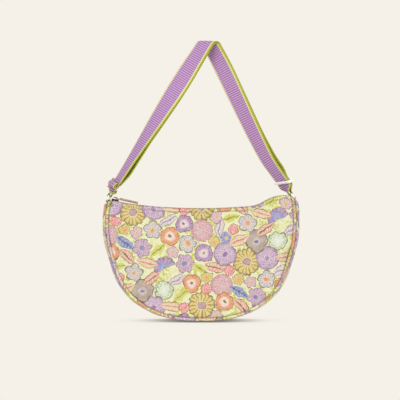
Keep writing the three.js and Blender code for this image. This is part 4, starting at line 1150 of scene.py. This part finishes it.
def smooth_table(rows):
    """A curve through rising rows that never overshoots them, as a function."""
    xs = [row[0] for row in rows]
    ys = [row[1] for row in rows]
    slopes = [(ys[i + 1] - ys[i]) / (xs[i + 1] - xs[i]) for i in range(len(rows) - 1)]
    tangents = [0.0]
    for before, after in zip(slopes, slopes[1:]):
        tangents.append(2 * before * after / (before + after) if before * after > 0 else 0.0)
    tangents.append(0.0)

    def at(x):
        i = max(k for k in range(len(slopes)) if xs[k] <= x or k == 0)
        width = xs[i + 1] - xs[i]
        t = min(max((x - xs[i]) / width, 0), 1)
        rise = ys[i] * (1 + 2 * t) * (1 - t) ** 2 + ys[i + 1] * t * t * (3 - 2 * t)
        return rise + width * (tangents[i] * t * (1 - t) ** 2 - tangents[i + 1] * t * t * (1 - t))

    return at


def ring_bar(side):
    return TABS[side] + RING_LEAN[side] * RING_SPACING


# The peg that carries the strap, and the strap's place on it by the angle turned from front to back
PEG_CENTRE = HANG - Vector((0, 0, PEG_RADIUS))
PEG_BACK = Vector((math.sin(PEG_TURN), math.cos(PEG_TURN), 0))
PEG_ALONG = Vector((math.cos(PEG_TURN), -math.sin(PEG_TURN), -math.tan(PEG_SLOPE))).normalized()
PEG_UP = PEG_ALONG.cross(PEG_BACK)


def peg_point(turn, out=0):
    outward = PEG_UP * math.sin(turn) - PEG_BACK * math.cos(turn)
    advance = (turn - math.pi / 2) * WRAP_RADIUS * math.tan(WRAP_SLANT)
    return PEG_CENTRE + PEG_ALONG * advance + outward * (WRAP_RADIUS + out)


def strap_leg(side):
    """One leg of the doubled strap, from a ring's bar to the peg: a function that gives its place,
    axes and cross line, then how it leans along the peg and the angle at which it meets the peg."""
    bar = ring_bar(side)
    reach = PEG_CENTRE - bar
    leave = math.atan2(-side * reach.dot(PEG_BACK), reach.dot(PEG_UP))
    turn = leave if side == LEFT else math.pi - leave
    length = (peg_point(turn) - bar).length
    up = (peg_point(turn) - bar).normalized()
    along = up * -side
    flat = along.cross(Vector((0, side, 0))).normalized()
    lean = along.dot(PEG_ALONG)
    on_peg = (PEG_ALONG - along * lean).normalized()
    twist = smooth_table(TWIST[side] + ((length, math.degrees(math.atan2(-on_peg.y, on_peg.dot(flat)))),))

    def at(above):
        angle = math.radians(twist(above))
        across = flat * math.cos(angle) + Vector((0, -1, 0)) * math.sin(angle)
        swing = smoothstep(above, length - SWING, length) * lean / PEG_ALONG.dot(on_peg)
        deepen, ease = smoothstep(above, BOW_START, BOW_DEEPEST), smoothstep(above, BOW_DEEPEST, length)
        bow = BOW[side] * deepen * (1 - ease)
        return {
            "point": bar + up * above - flat * bow,
            "along": along,
            "across": across,
            "cross": across + along * swing,
            "out": across.cross(along).normalized(),
        }

    return at, lean, turn


LEFT_LEG, LEFT_LEAN, LEFT_TURN = strap_leg(LEFT)
RIGHT_LEG, RIGHT_LEAN, RIGHT_TURN = strap_leg(RIGHT)


def strap_line():
    """The strap's middle line from its sewn end at the left ring to its end on the adjuster, as
    (point, cross line) pairs."""
    fine = 0.3
    line = []

    def station(place, out):
        line.append((place["point"] + place["out"] * out, place["cross"]))

    def layer(leg, table, down):
        out = smooth_table(table)
        low, high = table[0][0], table[-1][0]
        steps = int((high - low) / fine)
        for i in range(steps + 1):
            above = lerp(high, low, i / steps) if down else lerp(low, high, i / steps)
            station(leg(above), out(above))

    def turn_round(leg, above, offset, first, last):
        steps = 24
        for i in range(1, steps):
            angle = lerp(first, last, i / steps)
            station(leg(above + EYE_MID * math.sin(angle)), offset + EYE_MID * math.cos(angle))

    def wrap(out, reverse):
        steps = 40
        for i in range(steps + 1):
            share = 1 - i / steps if reverse else i / steps
            lean = lerp(LEFT_LEAN, RIGHT_LEAN, share)
            point = peg_point(lerp(LEFT_TURN, RIGHT_TURN, share), out)
            line.append((point, PEG_ALONG / math.sqrt(1 - lean * lean)))

    layer(LEFT_LEG, LEFT_TAIL, down=True)
    turn_round(LEFT_LEG, 0, 0, math.pi, 2 * math.pi)
    layer(LEFT_LEG, LEFT_OUTER, down=False)
    wrap(LAYER, reverse=False)
    layer(RIGHT_LEG, RIGHT_OUTER, down=True)
    turn_round(RIGHT_LEG, 0, 0, 2 * math.pi, math.pi)
    layer(RIGHT_LEG, RIGHT_INNER, down=False)
    wrap(-LAYER, reverse=True)
    layer(LEFT_LEG, LEFT_INNER, down=True)
    turn_round(LEFT_LEG, ADJUSTER_AT, ADJUSTER_OFFSET, math.pi, STRAP_END_TURN)
    return line


def strap():
    line = strap_line()
    lengths = [0]
    for (start, _), (end, _) in zip(line, line[1:]):
        lengths.append(lengths[-1] + (end - start).length)
    total = lengths[-1]
    rows = int(total / RIB_PITCH * ROWS_PER_RIB)
    stations = []
    low = 0
    for i in range(rows + 1):
        arc = total * i / rows
        while low < len(line) - 2 and lengths[low + 1] < arc:
            low += 1
        share = (arc - lengths[low]) / max(lengths[low + 1] - lengths[low], 1e-9)
        point = line[low][0].lerp(line[low + 1][0], share)
        cross = line[low][1].lerp(line[low + 1][1], share)
        stations.append((point, cross))
    normals, slants = [], []
    for i, (point, cross) in enumerate(stations):
        along = (stations[min(i + 1, rows)][0] - stations[max(i - 1, 0)][0]).normalized()
        normals.append(cross.cross(along).normalized())
        slants.append(cross.dot(along))

    def ribs_passed(i, aside):
        """Ribs from the strap's end to a point; they run square across it, also where its rows slant."""
        return i / ROWS_PER_RIB + aside * slants[i] / RIB_PITCH

    def surface(u, v):
        i = round(u * rows)
        point, cross = stations[i]
        aside = (0.5 - v) * WEBBING_WIDTH
        rib = RIB_HEIGHT * math.cos(2 * math.pi * ribs_passed(i, aside))
        rib *= smoothstep(abs(aside), RIB_END, RIB_FADE)
        return point + cross * aside + normals[i] * rib

    def flat(u, v, point):
        aside = (0.5 - v) * WEBBING_WIDTH
        return (ribs_passed(round(u * rows), aside) * RIB_PITCH, aside)

    bm = cloth_grid(rows, WEBBING_COLUMNS, surface, flat)
    weaves = [WEBBING_FACE, WEBBING_BACK, WEBBING_EDGE]
    piece = make_piece(bm, "strap_webbing", weaves, ["strap"])
    web = WEBBING_THICK - RIB_ALLOWANCE
    thicken(piece, web, use_even_offset=False, material_offset=1, material_offset_rim=2)


# Metal fittings


def axes_at(origin, x, y, z):
    """A matrix whose columns are three axes and a place."""
    return Matrix((*zip(x, y, z, origin), (0, 0, 0, 1)))


def wire_loop(half_width, half_height, corner, wire):
    """Round wire bent into a rectangle with round corners, in the XY plane."""
    bm = bmesh.new()
    start = Matrix.Translation((half_width, corner - half_height, 0)) @ Matrix.Rotation(math.pi / 2, 4, "X")
    bmesh.ops.create_circle(bm, segments=14, radius=wire, matrix=start)
    ring = list(bm.edges)
    sides = ((0, 2 * (half_height - corner)), (-2 * (half_width - corner), 0))
    corners = [(1, 1), (-1, 1), (-1, -1), (1, -1)]
    for i, (x, y) in enumerate(corners):
        sign = 1 if i < 2 else -1
        step = Vector((*sides[i % 2], 0)) * sign
        made = bmesh.ops.extrude_edge_only(bm, edges=ring)["geom"]
        verts = [g for g in made if isinstance(g, bmesh.types.BMVert)]
        ring = [g for g in made if isinstance(g, bmesh.types.BMEdge) and all(v in verts for v in g.verts)]
        bmesh.ops.translate(bm, verts=verts, vec=step)
        centre = Vector((x * (half_width - corner), y * (half_height - corner), 0))
        turned = bmesh.ops.spin(bm, geom=verts + ring, cent=centre, axis=(0, 0, 1),
                                angle=math.pi / 2, steps=8)
        ring = [g for g in turned["geom_last"] if isinstance(g, bmesh.types.BMEdge)]
    bmesh.ops.remove_doubles(bm, verts=bm.verts, dist=1e-3)
    bmesh.ops.recalc_face_normals(bm, faces=bm.faces)
    return bm


def ring(side, name):
    lean = RING_LEAN[side]
    bm = wire_loop(RING_INSIDE / 2 + RING_WIRE, RING_SPACING / 2, RING_CORNER, RING_WIRE)
    wide = Vector((0, 1, 0))
    place = axes_at(TABS[side] + lean * RING_SPACING / 2, wide, lean, wide.cross(lean))
    bmesh.ops.transform(bm, matrix=place, verts=bm.verts)
    make_piece(bm, f"{name}_wire", [NICKEL], [name])


def keeper():
    """A plain wire loop round both layers of the right leg."""
    at = RIGHT_LEG(KEEPER_AT)
    wide = Matrix.Rotation(KEEPER_TILT, 3, at["out"]) @ at["across"]
    bm = wire_loop(KEEPER_INSIDE / 2 + RING_WIRE, KEEPER_CLEAR + RING_WIRE, RING_CORNER, RING_WIRE)
    place = axes_at(at["point"], wide, at["out"], wide.cross(at["out"]))
    flattened = Matrix.Diagonal((1, 1, KEEPER_FLATTENED, 1))
    bmesh.ops.transform(bm, matrix=place @ flattened, verts=bm.verts)
    # Its white, half diffuse colour is a painted highlight
    make_piece(bm, "strap_keeper_wire", [GLARE_PAINTED_NICKEL], ["strap_keeper"])


def adjuster():
    """A cast three-bar slider: a plate with two slots, its edges rounded."""
    bm = bmesh.new()
    bmesh.ops.create_grid(bm, x_segments=3, y_segments=5, size=0.5)
    half_bar = ADJUSTER_BAR / 2
    columns = (-ADJUSTER_OUTER / 2, -ADJUSTER_SLOT / 2, ADJUSTER_SLOT / 2, ADJUSTER_OUTER / 2)
    rows = (-ADJUSTER_PITCH - half_bar, half_bar - ADJUSTER_PITCH, -half_bar, half_bar,
            ADJUSTER_PITCH - half_bar, ADJUSTER_PITCH + half_bar)
    # The slots are in the middle column of the grid, in its second and fourth rows
    slots = [
        f for f in bm.faces
        if abs(f.calc_center_median().x) < 0.1 and 0.1 < abs(f.calc_center_median().y) < 0.3
    ]
    for vert in bm.verts:
        vert.co.x = columns[round((vert.co.x + 0.5) * 3)]
        vert.co.y = rows[round((vert.co.y + 0.5) * 5)]
    bmesh.ops.delete(bm, geom=slots, context="FACES_ONLY")
    lifted_faces = bmesh.ops.extrude_face_region(bm, geom=bm.faces[:])["geom"]
    verts = [g for g in lifted_faces if isinstance(g, bmesh.types.BMVert)]
    bmesh.ops.translate(bm, verts=verts, vec=(0, 0, ADJUSTER_BAR))
    bmesh.ops.translate(bm, verts=bm.verts, vec=(0, 0, -half_bar))
    bmesh.ops.recalc_face_normals(bm, faces=bm.faces)
    side_middle = (ADJUSTER_SLOT + ADJUSTER_OUTER) / 4
    upright = [e for e in bm.edges if abs((e.verts[0].co - e.verts[1].co).z) > half_bar]
    corners = [
        e for e in upright
        if abs(e.verts[0].co.x) > side_middle and abs(e.verts[0].co.y) > ADJUSTER_PITCH
    ]
    bmesh.ops.bevel(bm, geom=corners, offset=2.0, affect="EDGES", segments=6, profile=0.5, material=-1)
    sharp = [e for e in bm.edges if e.calc_face_angle(0) > math.radians(50)]
    bmesh.ops.bevel(bm, geom=sharp, offset=0.6, affect="EDGES", segments=3, profile=0.5, material=-1)
    at = LEFT_LEG(ADJUSTER_AT)
    place = axes_at(at["point"] + at["out"] * ADJUSTER_OFFSET, at["across"], at["along"], at["out"])
    bmesh.ops.transform(bm, matrix=place, verts=bm.verts)
    # Its darker, pinker colour is partly painted shade and a painted reflection of the strap
    make_piece(bm, "strap_adjuster_plate", [WARM_NICKEL_PAINTED_SHADE], ["strap_adjuster"])


def closure_place():
    """The slider's frame: +x along the zip, z from the zip's face."""
    slope = math.atan2(zip_height(SLIDE_X + 1) - zip_height(SLIDE_X - 1), 2)
    return Matrix.Translation((SLIDE_X, 0, zip_height(SLIDE_X))) @ Matrix.Rotation(-slope, 4, "Y")


def box(bm, low, high, bevel):
    """A block with rounded edges between two corners."""
    low, high = Vector(low), Vector(high)
    size = high - low
    place = Matrix.Translation((low + high) / 2) @ Matrix.Diagonal((*size, 1))
    verts = bmesh.ops.create_cube(bm, size=1, matrix=place)["verts"]
    edges = list({e for v in verts for e in v.link_edges})
    bmesh.ops.bevel(bm, geom=edges, offset=bevel, affect="EDGES", segments=3, profile=0.5, material=-1)


def zip_slider():
    """Top plate with two side flanges over the coil, and the bridge that holds the pull."""
    bm = bmesh.new()
    end, edge = SLIDER_HALF_LENGTH, SLIDER_HALF_WIDTH
    box(bm, (-end, -edge, PLATE_LOW), (end, edge, PLATE_HIGH), bevel=0.6)
    for side in (FRONT, BACK):
        low, high = sorted((side * FLANGE_INNER, side * edge))
        box(bm, (-end, low, FLANGE_LOW), (end, high, FLANGE_HIGH), bevel=0.5)
    for vert in bm.verts:
        vert.co.y *= lerp(1, NOSE_SHARE, smoothstep(vert.co.x, NOSE_FROM, end))
    # The bridge is a strip bent over the plate: two legs, two quarter turns and a flat top. It is
    # sized by its outside and thickened inwards, so that the pull's pin stays clear of it
    foot, leg_x, bend, roof, width, wall = 3.4, 3.5, 1.8, 7.3, 2.4, 1.2
    half_path = roof - bend - foot + bend * math.pi / 2 + leg_x - bend
    strip = bmesh.ops.create_grid(bm, x_segments=28, y_segments=1, size=0.5)["verts"]
    for vert in strip:
        side = math.copysign(1, vert.co.x)
        left = half_path - abs(vert.co.x) * 2 * half_path
        turn = min(max((left - (roof - bend - foot)) / bend, 0), math.pi / 2)
        x = leg_x - bend + bend * math.cos(turn) - max(left - (half_path - leg_x + bend), 0)
        z = foot + min(left, roof - bend - foot) + bend * math.sin(turn)
        vert.co = (side * x, vert.co.y * width, z)
    faces = list({f for v in strip for f in v.link_faces})
    bmesh.ops.solidify(bm, geom=faces, thickness=wall)
    bmesh.ops.remove_doubles(bm, verts=bm.verts, dist=1e-4)
    bmesh.ops.recalc_face_normals(bm, faces=bm.faces)
    bmesh.ops.transform(bm, matrix=closure_place(), verts=bm.verts)
    # Its dark colour is painted shade
    piece = make_piece(bm, "zip_slider_body", [SLIDER_METAL_PAINTED_SHADE], ["zip_slider"])
    soft_edges(piece, width=0.15)


def pull_plate(bm, start, notch, low, high, bevel, segments):
    """A flat bar with a round far end, from a start and with a square notch cut into it, bevelled."""
    far = PULL_LENGTH - PULL_HALF
    before = set(bm.verts)
    corner = bm.verts.new((far, -PULL_HALF, low))
    bmesh.ops.spin(bm, geom=[corner], cent=(far, 0, low), axis=(0, 0, 1), angle=math.pi, steps=14)
    outline = sorted(set(bm.verts) - before, key=lambda v: math.atan2(v.co.y, v.co.x - far))
    corners = [(start, PULL_HALF), (start, -PULL_HALF)]
    if notch:
        corners[1:1] = [(start, EYE_HALF), (notch, EYE_HALF), (notch, -EYE_HALF), (start, -EYE_HALF)]
    outline += [bm.verts.new((x, y, low)) for x, y in corners]
    face = bm.faces.new(outline)
    made = bmesh.ops.extrude_face_region(bm, geom=[face])["geom"]
    top = next(g for g in made if isinstance(g, bmesh.types.BMFace))
    bmesh.ops.translate(bm, verts=list(top.verts), vec=(0, 0, high - low))
    faces = list({f for v in set(bm.verts) - before for f in v.link_faces})
    bmesh.ops.recalc_face_normals(bm, faces=faces)
    sharp = [e for e in {e for f in faces for e in f.edges} if e.calc_face_angle(0) > math.radians(60)]
    bmesh.ops.bevel(bm, geom=sharp, offset=bevel, affect="EDGES", segments=segments, profile=0.5,
                    material=-1)


def zip_puller():
    """A pull with a square eye over the slider's bridge and a plump grip with a sunk face."""
    bm = bmesh.new()
    base = -PULL_THICK / 2
    pull_plate(bm, 0, EYE_LENGTH, base, -base, bevel=0.3, segments=2)
    pull_plate(bm, EYE_LENGTH, None, base, base + GRIP_THICK, bevel=1.1, segments=4)
    face = [f for f in bm.faces if f.normal.z > 0.99 and f.calc_center_median().z > 1 and f.calc_area() > 40]
    bmesh.ops.inset_region(bm, faces=face, thickness=0.5, depth=0)
    bmesh.ops.inset_region(bm, faces=face, thickness=0.3, depth=-0.3)
    pin = Matrix.Rotation(math.pi / 2, 4, "X")
    bmesh.ops.create_cone(bm, cap_ends=True, segments=16, radius1=PIN_RADIUS, radius2=PIN_RADIUS,
                          depth=2 * PULL_HALF - 0.6, matrix=pin)
    bmesh.ops.transform(bm, matrix=closure_place() @ Matrix.Translation(PIVOT), verts=bm.verts)
    make_piece(bm, "zip_puller_plate", [ROSE_METAL], ["zip_puller"], body="puller")


# Stage, camera and light, in metres

LENS, SENSOR, CAMERA_PLACE = 117.07, 36, (-0.0125, -2.0, -0.2412)
# Lamps: name, place, size, power
LAMPS = (
    ("key", (-0.9, -1.6, 0.9), 1.3, 17),
    ("fill", (1.2, -1.5, 0.2), 1.2, 9),
    ("rim", (0.5, 1.4, 0.8), 1.0, 8),
)
LAMP_TARGET = Vector((0, 0, -0.25))
BACKDROP, ROOM_LIGHT, ROOM_STRENGTH = "#f5f1e8", (1, 0.99, 0.97, 1), 0.62
FLOOR_RADIUS, FLOOR_X, FLOOR_Y, FLOOR_GAP = 0.75, -0.011, 0.1, 0.0004
SHADOW_REACH, SHADOW_FALL, SHADOW_DEPTH = 0.12, 4.0, 0.85


def camera_and_light():
    scene = bpy.context.scene
    lens = bpy.data.cameras.new("camera")
    lens.lens, lens.sensor_width = LENS, SENSOR
    camera = bpy.data.objects.new("camera", lens)
    camera.location = CAMERA_PLACE
    camera.rotation_euler = (math.pi / 2, 0, 0)
    scene.collection.objects.link(camera)
    scene.camera = camera
    scene.view_settings.view_transform = "Standard"

    backdrop = srgb(BACKDROP)
    world = bpy.data.worlds.new("studio")
    world.use_nodes = True
    scene.world = world
    tree = world.node_tree
    seen = add_node(tree, "ShaderNodeBackground", {"Color": backdrop, "Strength": 1.0}).outputs[0]
    light = tree.nodes["Background"]
    light.inputs["Color"].default_value = ROOM_LIGHT
    light.inputs["Strength"].default_value = ROOM_STRENGTH
    # The camera and the metal see the bright walls of the studio; cloth is lit more softly
    ray = add_node(tree, "ShaderNodeLightPath").outputs
    ray = {0: ray["Is Camera Ray"], 1: ray["Is Glossy Ray"]}
    ray = add_node(tree, "ShaderNodeMath", ray, operation="MAXIMUM").outputs[0]
    both = add_node(tree, "ShaderNodeMixShader", {0: ray, 1: light.outputs[0], 2: seen}).outputs[0]
    tree.links.new(both, tree.nodes["World Output"].inputs["Surface"])

    for name, place, size, power in LAMPS:
        lamp = bpy.data.lights.new(name, "AREA")
        lamp.size, lamp.energy = size, power
        holder = bpy.data.objects.new(name, lamp)
        holder.location = place
        holder.rotation_euler = (LAMP_TARGET - Vector(place)).to_track_quat("-Z", "Y").to_euler()
        scene.collection.objects.link(holder)

    bm = bmesh.new()
    middle = Matrix.Translation((FLOOR_X, FLOOR_Y, CAD_BOX[0].z - FLOOR_GAP))
    bmesh.ops.create_circle(bm, cap_ends=True, segments=96, radius=FLOOR_RADIUS, matrix=middle)
    mesh = bpy.data.meshes.new("floor")
    bm.to_mesh(mesh)
    bm.free()
    floor = bpy.data.objects.new("floor", mesh)
    scene.collection.objects.link(floor)
    # Paper in the backdrop's colour, as bright as the backdrop, that dims only where the bag covers it
    material, tree, shader = new_material("floor_paper")
    covered = {"Distance": SHADOW_REACH}
    covered = add_node(tree, "ShaderNodeAmbientOcclusion", covered, samples=24).outputs["AO"]
    covered = add_node(tree, "ShaderNodeMath", {0: 1.0, 1: covered}, operation="SUBTRACT").outputs[0]
    shadow = {0: covered, 1: SHADOW_FALL}
    shadow = add_node(tree, "ShaderNodeMath", shadow, operation="POWER").outputs[0]
    shadow = {0: shadow, 1: -SHADOW_DEPTH, 2: 1.0}
    shadow = add_node(tree, "ShaderNodeMath", shadow, operation="MULTIPLY_ADD").outputs[0]
    tree.links.new(shadow, shader.inputs["Emission Strength"])
    shader.inputs["Emission Color"].default_value = backdrop
    shader.inputs["Base Color"].default_value = (0, 0, 0, 1)
    shader.inputs["Specular IOR Level"].default_value = 0.0
    mesh.materials.append(material)


camera_and_light()
panel(FRONT, "front_panel")
panel(BACK, "back_panel")
gusset()
piping(FRONT, "piping_front")
piping(BACK, "piping_back")
top_strip(FRONT, "top_strip_front")
top_strip(BACK, "top_strip_back")
zip_fastener()
tab(LEFT, "tab_left")
tab(RIGHT, "tab_right")
strap()
ring(LEFT, "ring_left")
ring(RIGHT, "ring_right")
keeper()
adjuster()
zip_slider()
zip_puller()
